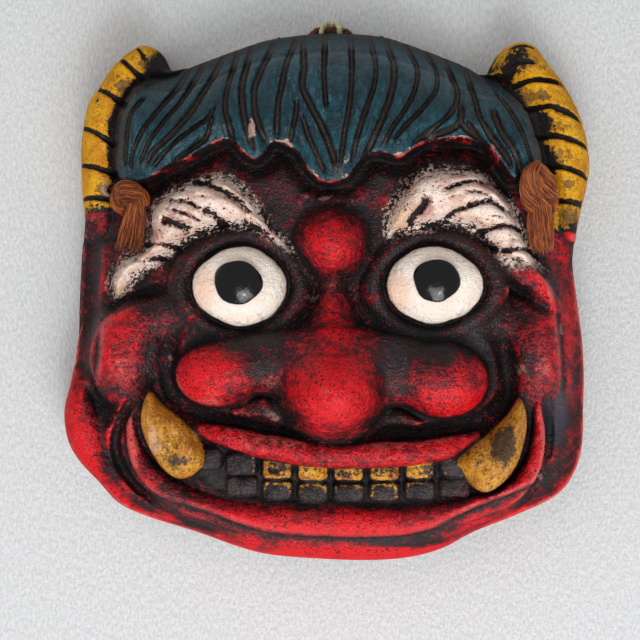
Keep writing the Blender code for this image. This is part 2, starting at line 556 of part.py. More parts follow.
def build_mask(mat):
    """The casting; returns its object and how far the drawing moves to centre it on the origin."""
    verts, faces = shell_mesh()
    mesh = thinned(mesh_from("mask", verts * MM, faces), FRONT_TRIANGLES)
    for v in mesh.vertices:
        if v.co.z < REST_SNAP * MM:
            v.co.z = 0
    low = [min(v.co[c] for v in mesh.vertices) for c in (0, 1)]
    high = [max(v.co[c] for v in mesh.vertices) for c in (0, 1)]
    shift = Vector((-(low[0] + high[0]) / 2, -(low[1] + high[1]) / 2, 0))
    for v in mesh.vertices:
        v.co += shift
    obj = add_object("mask", mesh, mat)
    for side, (x, y) in HOLES.items():
        cutter = bpy.data.meshes.new(f"{side} hole")
        work = bmesh.new()
        bmesh.ops.create_cone(work, cap_ends=True, segments=20, radius1=HOLE_RADIUS * MM,
                              radius2=HOLE_RADIUS * MM, depth=0.2)
        bmesh.ops.translate(work, verts=work.verts, vec=Vector((x * MM, y * MM, 0.09)) + shift)
        work.to_mesh(cutter)
        work.free()
        tool = add_object(f"{side}_hole_cutter", cutter)
        tool.hide_render = True
        tool.display_type = 'WIRE'
        bore = obj.modifiers.new(f"{side} hole", 'BOOLEAN')
        bore.object = tool
        bore.operation = 'DIFFERENCE'
    return obj, shift


def resting_height(r, x, y, radius, thickness):
    """Lowest centre height for a flattened ball that only just clears the relief."""
    win = r.window([x], [y], radius)
    u2 = ((r.x[win] - x) ** 2 + (r.y[win] - y) ** 2) / radius ** 2
    under = u2 < 1
    return (r.h[win][under] + thickness * np.sqrt(1 - u2[under])).max() + GAP


# strands of the knots are (x, y, half width, half thickness)
LEFT_STRANDS = [
    [(-80.6, 40.2, 1.6, 1.5), (-77.4, 40.6, 2.6, 2.3), (-73.4, 39.4, 3.0, 2.6), (-70.4, 36.6, 3.0, 2.6),
     (-70.2, 33.6, 2.6, 2.4)],
    [(-80.4, 39.6, 1.8, 1.8), (-81.2, 36.4, 2.0, 1.9), (-79.6, 33.2, 2.0, 1.9), (-76.8, 32.0, 2.2, 2.0)],
    [(-78.2, 37.8, 2.2, 2.0), (-75.0, 36.2, 2.8, 2.3), (-71.8, 34.8, 3.0, 2.4)],
    [(-72.4, 34.2, 2.8, 2.4), (-73.2, 28.6, 3.9, 2.2), (-74.2, 22.6, 4.7, 1.9), (-75, 16.8, 4.9, 1.5)],
]
RIGHT_STRANDS = [
    [(78, 48.2, 1.8, 1.8), (75.4, 44.8, 3.0, 2.6), (75, 40.4, 3.5, 2.8), (76.2, 36, 3.0, 2.6),
     (77.8, 32.6, 2.4, 2.2)],
    [(78.2, 47.6, 1.8, 1.8), (80.6, 43.6, 3.2, 2.6), (82.7, 39.2, 4.0, 2.8), (83.6, 34.6, 3.8, 2.6),
     (82.6, 31, 3.4, 2.4)],
    [(80, 35, 3.4, 2.3), (80.6, 29.8, 4.8, 2.2), (81, 25, 4.9, 2.0), (81.6, 20.4, 4.8, 1.8),
     (82.6, 16.6, 3.8, 1.5)],
]


def build_knot(name, strands, r, shift, mat):
    """Fat turns of fibre and a loose tassel that follow the relief, fused into one body."""
    work = bmesh.new()
    for strand in strands:
        curve = smooth_curve(strand, steps=5)
        height = np.array([resting_height(r, *p) for p in curve])
        for _ in range(BUNDLE_STIFFNESS):
            height[1:-1] = np.maximum(height[1:-1], (height[:-2] + height[2:]) / 2)
        for (x, y, radius, thickness), z in zip(curve, height):
            ball = bmesh.ops.create_icosphere(work, subdivisions=2, radius=1)["verts"]
            bmesh.ops.scale(work, verts=ball, vec=Vector((radius, radius, thickness)) * MM)
            bmesh.ops.translate(work, verts=ball, vec=Vector((x, y, z)) * MM + shift)
    mesh = bpy.data.meshes.new(name)
    work.to_mesh(mesh)
    work.free()
    obj = add_object(name, mesh)
    fuse = obj.modifiers.new("fuse", 'REMESH')
    fuse.mode = 'VOXEL'
    fuse.voxel_size = KNOT_VOXEL * MM
    obj = add_object(name, thinned(evaluated_mesh(obj), KNOT_TRIANGLES), mat)
    obj.data.shade_smooth()
    return obj


def build_tube(name, points, radius, shift, mat, closed=False):
    curve = bpy.data.curves.new(name, 'CURVE')
    curve.dimensions = '3D'
    curve.bevel_depth = radius * MM
    curve.bevel_resolution = 2
    curve.use_fill_caps = not closed
    spline = curve.splines.new('POLY')
    spline.points.add(len(points) - 1)
    spline.use_cyclic_u = closed
    for point, place in zip(spline.points, points):
        point.co = (*(Vector(place) * MM + shift), 1)
    obj = add_object(name, curve)
    curve.materials.append(mat)
    return obj


def spaced(route, gap):
    """Points at an even spacing along a smooth curve through a route."""
    fine = smooth_curve(route, steps=12)
    run = np.concatenate([[0], np.cumsum(np.linalg.norm(np.diff(fine, axis=0), axis=1))])
    stops = np.linspace(0, run[-1], int(round(run[-1] / gap)) + 1)
    return np.column_stack([np.interp(stops, run, fine[:, c]) for c in range(3)])


def cord_route(r):
    """From bore to bore: down inside the hollow, along the table, and out under the arch through the loop."""
    (lx, ly), (rx, ry) = HOLES["left"], HOLES["right"]
    cx, cy, cz = LOOP_CENTRE
    top_left = sample(r, r.h, lx, ly) - 0.4
    top_right = sample(r, r.h, rx, ry) - 0.4
    return [(lx, ly, float(top_left)), (lx, ly, 27), (lx + 0.6, ly + 0.4, 16), (lx + 5, ly + 4, 4.5),
            (-70, 56, 1.8), (-54, 70, 1.6), (-36, 84, 1.6), (-20, 93.5, 2.0), (-11, 100, 2.8),
            (cx - 7, cy - 0.8, 3.6), (cx - 3.5, cy, cz), (cx, cy, cz), (cx + 3.5, cy, cz),
            (cx + 7, cy - 0.8, 3.6), (13.5, 100, 2.8), (22, 93.5, 2.0), (38, 84, 1.6), (55, 70, 1.6),
            (71, 56, 1.8), (rx - 5, ry + 4, 4.5), (rx - 0.6, ry + 0.4, 16), (rx, ry, 27),
            (rx, ry, float(top_right))]


def loop_points(count=36):
    """A string wound twice round the cord and joined, whose two turns stand apart in front of it."""
    cx, cy, cz = LOOP_CENTRE
    out = []
    for k in range(count):
        a = 4 * math.pi * k / count
        along = LOOP_LEAN * math.sin(a / 2) - LOOP_HALF_WIDTH * math.cos(a / 2)
        out.append((cx + along, cy + LOOP_TURN * math.sin(a), cz + LOOP_TURN * math.cos(a)))
    return out


def main():
    for obj in list(bpy.data.objects):
        bpy.data.objects.remove(obj)
    clay = material("painted_ceramic", (0.36, 0.03, 0.03), 0.5)
    fibre = material("brown_fibre", (0.28, 0.09, 0.03), 0.85)
    string = material("cream_string", (0.72, 0.68, 0.48), 0.85)
    relief, _ = sculpt()
    _, shift = build_mask(clay)
    build_knot("left_knot", LEFT_STRANDS, relief, shift, fibre)
    build_knot("right_knot", RIGHT_STRANDS, relief, shift, fibre)
    build_tube("hanging_cord", spaced(cord_route(relief), CORD_SPACING), CORD_RADIUS, shift, fibre)
    build_tube("hanging_loop", loop_points(), LOOP_RADIUS, shift, string, closed=True)


main()
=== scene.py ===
# %% [markdown]
# # A ceramic oni mask
# The real thing is pressed into a mould as a hollow clay shell, fired, painted black, then dry-brushed in
# red, teal, yellow and cream, so that every groove stays dark.  It lies face up on a table, on its flat back
# rim.  The shell is drawn here as a relief: one height for every point seen from the front.  A moulded shell
# has no undercuts, so a height map can hold all of it, and soft clay tools (caps, rolls, grooves) can shape
# it.

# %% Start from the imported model
import math

import bmesh
import bpy
import numpy as np
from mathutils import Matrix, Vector


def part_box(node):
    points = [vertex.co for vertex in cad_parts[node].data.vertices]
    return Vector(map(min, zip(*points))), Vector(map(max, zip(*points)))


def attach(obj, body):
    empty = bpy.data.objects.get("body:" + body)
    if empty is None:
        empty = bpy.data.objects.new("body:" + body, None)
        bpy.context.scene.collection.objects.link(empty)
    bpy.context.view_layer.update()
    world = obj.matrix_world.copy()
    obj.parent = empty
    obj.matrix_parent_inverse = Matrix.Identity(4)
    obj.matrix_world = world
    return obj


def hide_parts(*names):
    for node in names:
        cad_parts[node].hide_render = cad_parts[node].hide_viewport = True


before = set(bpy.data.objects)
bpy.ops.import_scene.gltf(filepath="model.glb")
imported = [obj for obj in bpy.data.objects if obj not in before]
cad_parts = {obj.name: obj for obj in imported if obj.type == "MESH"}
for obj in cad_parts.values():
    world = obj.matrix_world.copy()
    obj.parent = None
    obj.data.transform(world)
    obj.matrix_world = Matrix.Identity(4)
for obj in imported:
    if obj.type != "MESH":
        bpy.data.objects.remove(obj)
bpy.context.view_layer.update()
MM = 0.001
mask_low, mask_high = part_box("mask")
print("mask spans (mm):", [round((b - a) / MM, 1) for a, b in zip(mask_low, mask_high)])

# %% [markdown]
# ## Camera
# The camera looks straight down at the mask as it lies.  A rather long lens, a little over half a metre away,
# keeps the nose from looking swollen.

# %% Camera
VIEW_HEIGHT, LENS, SENSOR = 0.614, 85.0, 36.0
VIEW_X, VIEW_Y = -0.00265, -0.0096

camera_data = bpy.data.cameras.new("camera")
camera_data.lens = LENS
camera_data.sensor_width = SENSOR
camera = bpy.data.objects.new("camera", camera_data)
camera.location = (VIEW_X, VIEW_Y, VIEW_HEIGHT)
bpy.context.scene.collection.objects.link(camera)
bpy.context.scene.camera = camera
print("table in view (mm):", round(VIEW_HEIGHT * SENSOR / LENS / MM))

# %% [markdown]
# ## Light
# A large soft box stands low beyond the chin, a little to the right, so the lower side of every bulge shines
# and a faint shadow falls beyond the hair.  A weaker one opens the shadows and is kept out of reflections.  A
# small cool one beside the first makes the glint in each glossy pupil.  The room itself gives the rest,
# evenly.


# %% Lights
def soft_light(name, place, target, size, power, tint=(1, 1, 1)):
    """A square soft box that faces a point."""
    data = bpy.data.lights.new(name, 'AREA')
    data.shape = 'SQUARE'
    data.size = size
    data.energy = power
    data.color = tint
    obj = bpy.data.objects.new(name, data)
    obj.location = place
    obj.rotation_euler = (Vector(target) - Vector(place)).to_track_quat('-Z', 'Y').to_euler()
    bpy.context.scene.collection.objects.link(obj)
    return obj


FACE = (0, 0, 0.03)
soft_light("key", (0.20, -0.86, 0.95), FACE, 0.9, 12.0)
fill = soft_light("fill", (-0.7, 0.3, 1.1), (0, 0, 0), 1.3, 4.5)
fill.visible_glossy = False
soft_light("glint", (0.14, -0.74, 1.0), FACE, 0.16, 1.6, (0.86, 0.94, 1.0))
print("lights:", len(bpy.data.lights))

# %% Room
ROOM_COLOUR, ROOM_LIGHT = (0.95, 0.95, 0.97, 1), 0.42

world = bpy.data.worlds.new("room")
world.use_nodes = True
background = world.node_tree.nodes["Background"]
background.inputs["Color"].default_value = ROOM_COLOUR
background.inputs["Strength"].default_value = ROOM_LIGHT
bpy.context.scene.world = world
bpy.context.scene.view_settings.view_transform = 'Standard'
print("room light:", ROOM_LIGHT)

# %% [markdown]
# ## Shader helpers
# A finish is written as sums and products of patterns.  `Value` wraps a node's socket, so that Python's own
# operators add the Math nodes, and `Finish.node` makes every other node.


# %% Colours
def srgb(red, green, blue):
    """A colour as a screen shows it (0 to 255), turned into the linear light that shaders work in."""
    shares = [c / 255 for c in (red, green, blue)]
    linear = [c / 12.92 if c <= 0.04 else ((c + 0.055) / 1.055) ** 2.4 for c in shares]
    return (*linear, 1.0)


print("middle grey in linear light:", round(srgb(128, 128, 128)[0], 3))


# %% Value
class Value:
    """A number that changes over a surface."""

    def __init__(self, finish, socket):
        self.finish, self.socket = finish, socket

    def math(self, operation, a, b):
        return self.finish.node('ShaderNodeMath', {'operation': operation}, {0: a, 1: b})

    def __add__(self, other):
        return self.math('ADD', self, other)

    __radd__ = __add__

    def __sub__(self, other):
        return self.math('SUBTRACT', self, other)

    def __rsub__(self, other):
        return self.math('SUBTRACT', other, self)

    def __mul__(self, other):
        return self.math('MULTIPLY', self, other)

    __rmul__ = __mul__

    def swing(self, amount):
        """A pattern that runs from 0 to 1, made to swing about 0 by that amount."""
        return (self - 0.5) * amount

    def step(self, low, high):
        """Rises smoothly from 0 at low to 1 at high, or falls where low is the larger."""
        rising = low < high
        ends = (low, high, 0.0, 1.0) if rising else (high, low, 1.0, 0.0)
        return self.finish.node('ShaderNodeMapRange', {'interpolation_type': 'SMOOTHSTEP'},
                                {0: self, 1: ends[0], 2: ends[1], 3: ends[2], 4: ends[3]})


# %% Finish
class Finish:
    """One material, with a method for each kind of thing that a painter would do."""

    def __init__(self, name):
        self.material = bpy.data.materials.new(name)
        self.material.use_nodes = True
        self.tree = self.material.node_tree
        self.shader = self.tree.nodes["Principled BSDF"]
        self.place = self.node('ShaderNodeTexCoord', {}, {}, out='Object')

    def feed(self, socket, value):
        if isinstance(value, Value):
            self.tree.links.new(value.socket, socket)
        else:
            socket.default_value = value

    def node(self, kind, settings, inputs, out=0):
        made = self.tree.nodes.new(kind)
        for key, value in settings.items():
            setattr(made, key, value)
        for key, value in inputs.items():
            self.feed(made.inputs[key], value)
        return Value(self, made.outputs[out])

    def set(self, **sockets):
        for name, value in sockets.items():
            self.feed(self.shader.inputs[name.replace("_", " ")], value)

    def noise(self, size, detail, roughness, place=None):
        """Cloudy noise from 0 to 1 whose blotches are about size metres across."""
        return self.node('ShaderNodeTexNoise', {}, {'Vector': place or self.place, 'Scale': 1 / size,
                                                    'Detail': detail, 'Roughness': roughness})

    def stretched(self, scale, turn=0.0):
        """Object coordinates scaled along each axis, for strokes and fibres."""
        return self.node('ShaderNodeMapping', {},
                         {'Vector': self.place, 'Rotation': (0, 0, turn), 'Scale': scale})

    def field(self, name):
        """An amount that the mesh carries as an attribute."""
        return self.node('ShaderNodeAttribute', {'attribute_name': name}, {}, out='Fac')

    def mix(self, factor, under, over):
        """One colour laid over another."""
        return self.node('ShaderNodeMix', {'data_type': 'RGBA', 'clamp_factor': True},
                         {0: factor, 6: under, 7: over}, out=2)

    def bump(self, height, distance, strength, under=None):
        inputs = {'Height': height, 'Distance': distance, 'Strength': strength}
        if under:
            inputs['Normal'] = under
        return self.node('ShaderNodeBump', {}, inputs)


# %% [markdown]
# ## Table top
# The mask lies on a plain off-white board with a fine, slightly drawn-out grain.  One large square is enough:
# two stretched noises give it its dimples and its faint weave.

# %% Table top
TABLE_HALF = 3.0
finish = Finish("table")
dimple = finish.noise(0.0014, 2.0, 0.6, place=finish.stretched((1.3, 0.75, 1.0), 0.15))
weave = finish.noise(0.0016, 2.0, 0.6, place=finish.stretched((1.6, 0.6, 1.0), 0.1))
pale = finish.mix(weave.step(0.36, 0.64), srgb(207, 208, 208), srgb(221, 222, 222))
finish.set(Base_Color=pale, Roughness=0.8, Normal=finish.bump(dimple, 0.0010, 0.7))
table_mesh = bpy.data.meshes.new("table")
corners = [(x * TABLE_HALF, y * TABLE_HALF, 0) for x, y in ((-1, -1), (1, -1), (1, 1), (-1, 1))]
table_mesh.from_pydata(corners, [], [(0, 1, 2, 3)])
table_mesh.materials.append(finish.material)
table = bpy.data.objects.new("table", table_mesh)
bpy.context.scene.collection.objects.link(table)
print("table finish nodes:", len(finish.tree.nodes))

# %% [markdown]
# ## Clay tools
# The relief is a raster of heights in millimetres.  A cap is an egg-shaped lump, a ridge is a roll of clay
# along a curve, and a groove is a tooled cut.  `blend_max` lays one form over another with a small fillet, as
# a wet thumb would.  Distances are only worked out near each stroke, so that a few hundred strokes take a few
# seconds.


# %% Curves
def smooth_curve(points, closed=False, steps=6):
    """Catmull-Rom curve through rows of numbers; every column is carried along."""
    p = np.asarray(points, float)
    spans = len(p) if closed else len(p) - 1
    if closed:
        p = np.vstack([p[-1], p, p[0], p[1]])
    else:
        p = np.vstack([2 * p[0] - p[1], p, 2 * p[-1] - p[-2]])
    out = []
    for i in range(spans):
        a, b, c, d = p[i:i + 4]
        for t in np.arange(steps) / steps:
            out.append(0.5 * (2 * b + (c - a) * t + (2 * a - 5 * b + 4 * c - d) * t * t
                              + (3 * b - a - 3 * c + d) * t ** 3))
    if not closed:
        out.append(p[-2])
    return np.array(out)


print("a curve through 3 points is drawn with", len(smooth_curve([(0, 0), (1, 1), (2, 0)])), "points")


# %% Blends
def ease(t):
    """Rises from 0 to 1 with a soft start and a soft end."""
    t = np.clip(t, 0, 1)
    return t * t * (3 - 2 * t)


def quarter_round(t):
    """Rises from 0 to 1 like a quarter circle as t runs from 0 to 1."""
    return np.sqrt(1 - (1 - np.clip(t, 0, 1)) ** 2)


def blend_max(a, b, k):
    """The higher of two heights, with a fillet of about k where they meet."""
    m = np.maximum(k - np.abs(a - b), 0) / k
    return np.maximum(a, b) + m * m * k / 4


def blend_min(a, b, k):
    return -blend_max(-a, -b, k)


print("a fillet of 4 lifts an inner corner by", blend_max(0.0, 0.0, 4.0), "mm")

# %% [markdown]
# ## The raster
# The board that the relief is worked on: a square of heights, with ways to read it, soften it and make it
# uneven.


# %% Raster
class Raster:
    """Heights over a square, in millimetres, and how deep each spot was tooled."""

    def __init__(self, half, step):
        self.n = int(round(2 * half / step)) + 1
        self.half = half
        self.step = 2 * half / (self.n - 1)
        axis = np.linspace(-half, half, self.n)
        self.x, self.y = np.meshgrid(axis, axis)
        self.h = np.zeros_like(self.x)
        self.cut = np.zeros_like(self.x)

    def read(self, grid, x, y):
        """Bilinear reading of a raster at points."""
        u = np.clip((x + self.half) / self.step, 0, self.n - 1.001)
        v = np.clip((y + self.half) / self.step, 0, self.n - 1.001)
        i, j = u.astype(int), v.astype(int)
        u, v = u - i, v - j
        low = grid[j, i] * (1 - u) + grid[j, i + 1] * u
        high = grid[j + 1, i] * (1 - u) + grid[j + 1, i + 1] * u
        return low * (1 - v) + high * v

    def softened(self, grid, radius):
        """A raster averaged over a square of about that radius, twice over."""
        n = max(1, int(round(radius / self.step)))
        for _ in range(2):
            for axis in (0, 1):
                margins = [(n + 1, n) if a == axis else (0, 0) for a in (0, 1)]
                total = np.cumsum(np.pad(grid, margins, mode='edge'), axis=axis)
                length = grid.shape[axis]
                high = np.take(total, np.arange(2 * n + 1, 2 * n + 1 + length), axis=axis)
                low = np.take(total, np.arange(length), axis=axis)
                grid = (high - low) / (2 * n + 1)
        return grid

    def uneven(self, size, seed):
        """Smooth hills and dips between -1 and 1, about size millimetres across."""
        cells = int(2 * self.half / size) + 3
        knots = np.random.default_rng(seed).uniform(-1, 1, (cells, cells))
        u, v = (self.x + self.half) / size, (self.y + self.half) / size
        i, j = u.astype(int), v.astype(int)
        u, v = ease(u - i), ease(v - j)
        low = knots[j, i] * (1 - u) + knots[j, i + 1] * u
        high = knots[j + 1, i] * (1 - u) + knots[j + 1, i + 1] * u
        return low * (1 - v) + high * v


# %% Outlines on the raster
class Drawing(Raster):
    """A raster that also knows how far each spot is from a drawn line."""

    def window(self, xs, ys, reach):
        """The part of the raster within reach of some points."""
        spans = []
        for v in (ys, xs):
            low = int((np.min(v) - reach + self.half) / self.step)
            high = int((np.max(v) + reach + self.half) / self.step) + 2
            spans.append(slice(max(low, 0), min(high, self.n)))
        return tuple(spans)

    def nearest(self, curve, reach, closed=False):
        """Distance to a curve, then the curve's other columns and the share of its length there."""
        ends = np.vstack([curve, curve[:1]]) if closed else curve
        lengths = np.hypot(*np.diff(ends[:, :2], axis=0).T)
        share = np.concatenate([[0], np.cumsum(lengths)]) / lengths.sum()
        ends = np.column_stack([ends, share])
        dist = np.full(self.x.shape, float(reach))
        vals = np.zeros(self.x.shape + (ends.shape[1] - 2,))
        for i, (a, b) in enumerate(zip(ends[:-1], ends[1:])):
            if lengths[i] == 0:
                continue
            win = self.window([a[0], b[0]], [a[1], b[1]], reach)
            x, y = self.x[win], self.y[win]
            ab = b[:2] - a[:2]
            t = np.clip(((x - a[0]) * ab[0] + (y - a[1]) * ab[1]) / (ab @ ab), 0, 1)
            d = np.hypot(x - a[0] - t * ab[0], y - a[1] - t * ab[1])
            near = d < dist[win]
            dist[win] = np.where(near, d, dist[win])
            vals[win] = np.where(near[..., None], a[2:] + t[..., None] * (b[2:] - a[2:]), vals[win])
        return dist, vals

    def inside(self, curve):
        """True where the raster lies inside a closed curve."""
        hit = np.zeros(self.x.shape, bool)
        for a, b in zip(curve, np.roll(curve, -1, axis=0)):
            if a[1] == b[1]:
                continue
            low, high = sorted((a[1], b[1]))
            win = (self.window([0], [low, high], 0)[0], slice(0, self.n))
            x, y = self.x[win], self.y[win]
            crossing = a[0] + (y - a[1]) * (b[0] - a[0]) / (b[1] - a[1])
            hit[win] ^= (y > low) & (y <= high) & (x < crossing)
        return hit

    def field(self, points, reach, steps=6):
        """Signed distance to a closed smooth curve, positive inside, limited to the reach."""
        curve = smooth_curve(points, True, steps)
        dist = self.nearest(curve, reach, True)[0]
        return np.where(self.inside(curve), dist, -dist)

    def oval(self, cx, cy, rx, ry, turn=0.0, power=2.0):
        """How far out each spot is from an oval's middle, where 1 is its border."""
        c, s = math.cos(math.radians(turn)), math.sin(math.radians(turn))
        u = ((self.x - cx) * c + (self.y - cy) * s) / rx
        v = (-(self.x - cx) * s + (self.y - cy) * c) / ry
        return (np.abs(u) ** power + np.abs(v) ** power) ** (1 / power)


# %% Lumps, rolls and cuts
CAP_FALL, RIDGE_FALL = 60, 30      # how steeply a cap and a ridge end past their borders
GROOVE_LIP = 0.12                  # height of the clay pushed up beside a groove, as a share of its depth


class Relief(Drawing):
    """A drawing worked up in clay."""

    def add(self, height, k):
        self.h = blend_max(self.h, height, k)

    def cap(self, cx, cy, rx, ry, top, drop, turn=0.0, k=3.0, power=2.0):
        """An egg-shaped swelling: its top, and how far it has fallen at its border."""
        r = self.oval(cx, cy, rx, ry, turn, power)
        self.add(top - drop * (1 - np.sqrt(np.clip(1 - r * r, 0, 1))) - np.maximum(r - 1, 0) * CAP_FALL, k)

    def mound(self, cx, cy, rx, ry, top, drop, k):
        """A soft swelling without a border, as much lower at the given radii as the drop."""
        self.add(top - drop * (((self.x - cx) / rx) ** 2 + ((self.y - cy) / ry) ** 2), k)

    def ridge(self, points, drop, k):
        """A rounded roll along a curve of (x, y, height, half width)."""
        curve = smooth_curve(points)
        reach = curve[:, 3].max() * 1.6
        d, v = self.nearest(curve, reach)
        t = d / np.maximum(v[..., 1], 0.2)
        z = v[..., 0] - drop * (1 - np.sqrt(np.clip(1 - t * t, 0, 1))) - np.maximum(t - 1, 0) * RIDGE_FALL
        self.h = np.where(d < reach * 0.999, blend_max(self.h, z, k), self.h)

    def groove(self, points, width, depth, taper=0.18):
        """A tooled groove that runs out at its ends, with slightly raised lips."""
        half = width / 2
        d, v = self.nearest(smooth_curve(points), half * 1.9)
        fade = ease((1 - v[..., -1]) / taper) * ease(v[..., -1] / taper)
        cut = np.clip(1 - (d / half) ** 2, 0, 1)
        lip = np.clip(1 - ((d - half * 1.3) / (half * 0.55)) ** 2, 0, 1)
        self.h += fade * depth * (GROOVE_LIP * lip - cut)
        self.cut = np.maximum(self.cut, fade * cut * depth)


# %% [markdown]
# ## Sizes and the rim
# All places are in millimetres from the middle of the mask: across, then up towards the hair.  Every outline
# is a few dozen points that a smooth curve runs through.  The solid model was drawn from the same numbers.

# %% Sizes
RELIEF_HALF = 112.0                 # half side of the square that the relief is worked on
RELIEF_STEP = 0.4
WALL = 7.0                          # thickness of the clay
RIM_WIDTH = 8.0                     # flat back rim that the mask lies on
RIM_ROUND = 13.0                    # how far in from the rim the side wall has turned over
ARCH_HALF, ARCH_RISE = 25.0, 8.8    # shallow arch in the top of the rim, over the cord
HOLE_RADIUS = 2.0
HOLES = {"left": (-82.8, 40.8), "right": (85.6, 40.5)}
LOOP_CENTRE = (1.3, 107.2, 4.3)
print("wall and rim (mm):", WALL, RIM_WIDTH, "- relief step (mm):", RELIEF_STEP)

# %% The rim
RIM = [(0, 105.7), (12, 105.2), (23, 104), (33, 101), (43, 97.3), (55, 92.5), (63, 88.6), (66, 93),
       (70, 98.8), (76.5, 101.5), (82.3, 99.7), (88, 92), (94.5, 83.5), (100.5, 72), (103.6, 61), (104.6, 50),
       (103, 40), (101, 32), (99.2, 22), (98.6, 9), (100.3, -6), (102, -20), (102.6, -40), (101.8, -60),
       (97.5, -72.5), (90, -80.5), (76, -87.3), (58, -94.5), (46, -100.8), (33, -104.4), (18, -105.7),
       (0, -105.3), (-22, -103.6), (-35, -100.5), (-52, -94.5), (-71, -88.5), (-83, -83), (-91.5, -74),
       (-99, -66), (-103.8, -57), (-105.2, -45), (-102.4, -33), (-100.3, -19), (-99.8, -2), (-98.8, 16),
       (-97, 28), (-98.2, 42), (-98.4, 60), (-95.7, 75.5), (-91, 83), (-85.6, 91.3), (-78.5, 97.4),
       (-72.5, 100), (-66.3, 97.4), (-61.8, 90.2), (-53, 92.8), (-40, 97.6), (-26, 102.4), (-14, 104.4)]

relief = Relief(RELIEF_HALF, RELIEF_STEP)
edge = relief.field(RIM, 60)        # distance in from the rim, up to 60
print("relief:", relief.h.shape, "deepest inside the rim (mm):", round(float(edge.max()), 1))


def tell_height(form):
    print(form, "reach (mm):", round(float(relief.h.max()), 1))


# %% [markdown]
# ## The big forms
# The order is a sculptor's: the big domed forms first, then what is laid on them, then what is cut into
# them.  The shell climbs from the rim in a quarter round, then more gently.  Jaw, forehead, cheeks and the
# swell under each eye are caps and rolls with wide fillets, so no seam shows between them.


# %% The big forms
RIM_RISE, DOME_RISE, DOME_RUN = 29, 16, 42      # heights of the side and the dome, and the dome's reach


def face_mass(r, edge):
    """The domed shell with its jaw, forehead, cheeks and the swell under each eye."""
    r.h = RIM_RISE * quarter_round(edge / RIM_ROUND) + DOME_RISE * ease((edge - 4) / DOME_RUN)
    r.cap(2, -64, 78, 42, 46, 14, k=8)
    r.cap(0, 32, 68, 30, 48, 9, k=8)
    r.cap(-36, -8, 30, 18, 50, 9, k=8)
    r.cap(41, -8, 30, 18, 50, 9, k=8)
    r.ridge([(-95, -34, 34, 6), (-97, -46, 37, 8), (-95, -58, 37, 9), (-89, -68, 35, 7), (-80, -77, 34, 6)],
            drop=9, k=5)
    r.groove([(-90, 30), (-91, 12), (-91.5, -6), (-90, -22), (-86, -36)], 8, 2.2)
    r.groove([(-91, -34), (-86, -43), (-82, -51)], 9, 2.2)
    r.groove([(87, 26), (89.5, 8), (91.5, -8), (92.5, -26), (91.5, -40)], 4, 0.5)
    r.ridge([(-63, -6, 46, 7), (-71, -11, 48.5, 11), (-77, -21, 50, 13.5), (-77.5, -32, 48, 12),
             (-75, -40, 43, 7)], drop=13, k=9)
    r.mound(79.5, -21, 14.5, 25, 49.5, 12, k=6)


face_mass(relief, edge)
tell_height("big forms")

# %% [markdown]
# ## Brows
# Two bushy brows stand off the forehead, each cut by a few bold strokes of a loop tool.  A brow is its
# outline raised in a quarter round, and each stroke is cut twice: wide and shallow, then narrow and deep, as
# a tool that digs in would leave it.  A bump and two wrinkles sit between the brows.

# %% Brow outlines and cuts
BROWS = [[(-13.5, 15.5), (-17, 21), (-20, 24), (-24.5, 31.5), (-31, 39), (-38, 44), (-49, 43), (-60, 38.5),
          (-67, 32), (-69.5, 19), (-80, 13), (-84, 5), (-81, -1.5), (-77, 0), (-70, 8), (-60.5, 14.5),
          (-47.5, 22.5), (-41, 24.5), (-29, 24.5), (-19, 19)],
         [(22.5, 22), (21.5, 30), (27, 39), (34, 45.5), (43, 47.5), (55.5, 46.5), (63.5, 41), (69.5, 34),
          (74, 25), (80.5, 14), (85, 6), (87.5, -4), (84, -4), (75, 4.5), (71, 10), (64, 13.5),
          (56, 22.5), (45, 26), (30, 23)]]
BROW_CUTS = [
    ([(-52, 41.5), (-44, 40.5), (-33, 34.5), (-27, 26)], 4.2, 2.6),
    ([(-61, 35), (-52, 34), (-46, 30.5)], 2.4, 1.6),
    ([(-47, 31.5), (-42, 29), (-37, 24)], 4.4, 2.6),
    ([(-63, 27.5), (-57, 26.5), (-50, 23.5)], 4.4, 2.6),
    ([(-70, 18.5), (-60.5, 18.5), (-54, 16)], 2.6, 2.0),
    ([(-75, 12.5), (-66, 13.5), (-59, 13.5)], 2.4, 1.8),
    ([(-58, 31), (-51, 29), (-46, 26)], 1.8, 1.2),
    ([(42, 38), (52.5, 41.8), (61, 40)], 2.6, 1.8),
    ([(38, 36.5), (33, 30), (29, 25)], 4.6, 2.8),
    ([(42, 27), (47, 30.5), (54.5, 33.3), (61, 34), (69, 29)], 3.2, 2.4),
    ([(55, 22.5), (62, 24.8), (68, 25.5), (75, 23.5)], 3.0, 2.4),
    ([(63, 15.5), (70, 17), (77, 16.5), (82, 13)], 3.0, 2.2),
    ([(72, 10.5), (78, 9.5), (84, 6)], 2.6, 1.8),
    ([(50, 38), (57, 37.5), (65, 34)], 1.8, 1.2),
]
FROWN = [[(-13, 33.5, 48, 1.5), (-9.5, 35.6, 50, 2), (-6, 37.8, 50, 2), (-3, 39.5, 48, 1.5)],
         [(-7, 33.4, 48, 1.5), (-2, 35.8, 50.5, 2.4), (3, 36.5, 50.5, 2.4), (7, 36, 48, 1.5)]]
print("brow cuts:", len(BROW_CUTS))


# %% Brows in the clay
BROW_HEIGHT, BROW_ROUND = 11, 13        # how high a brow stands, and how far in its round side reaches


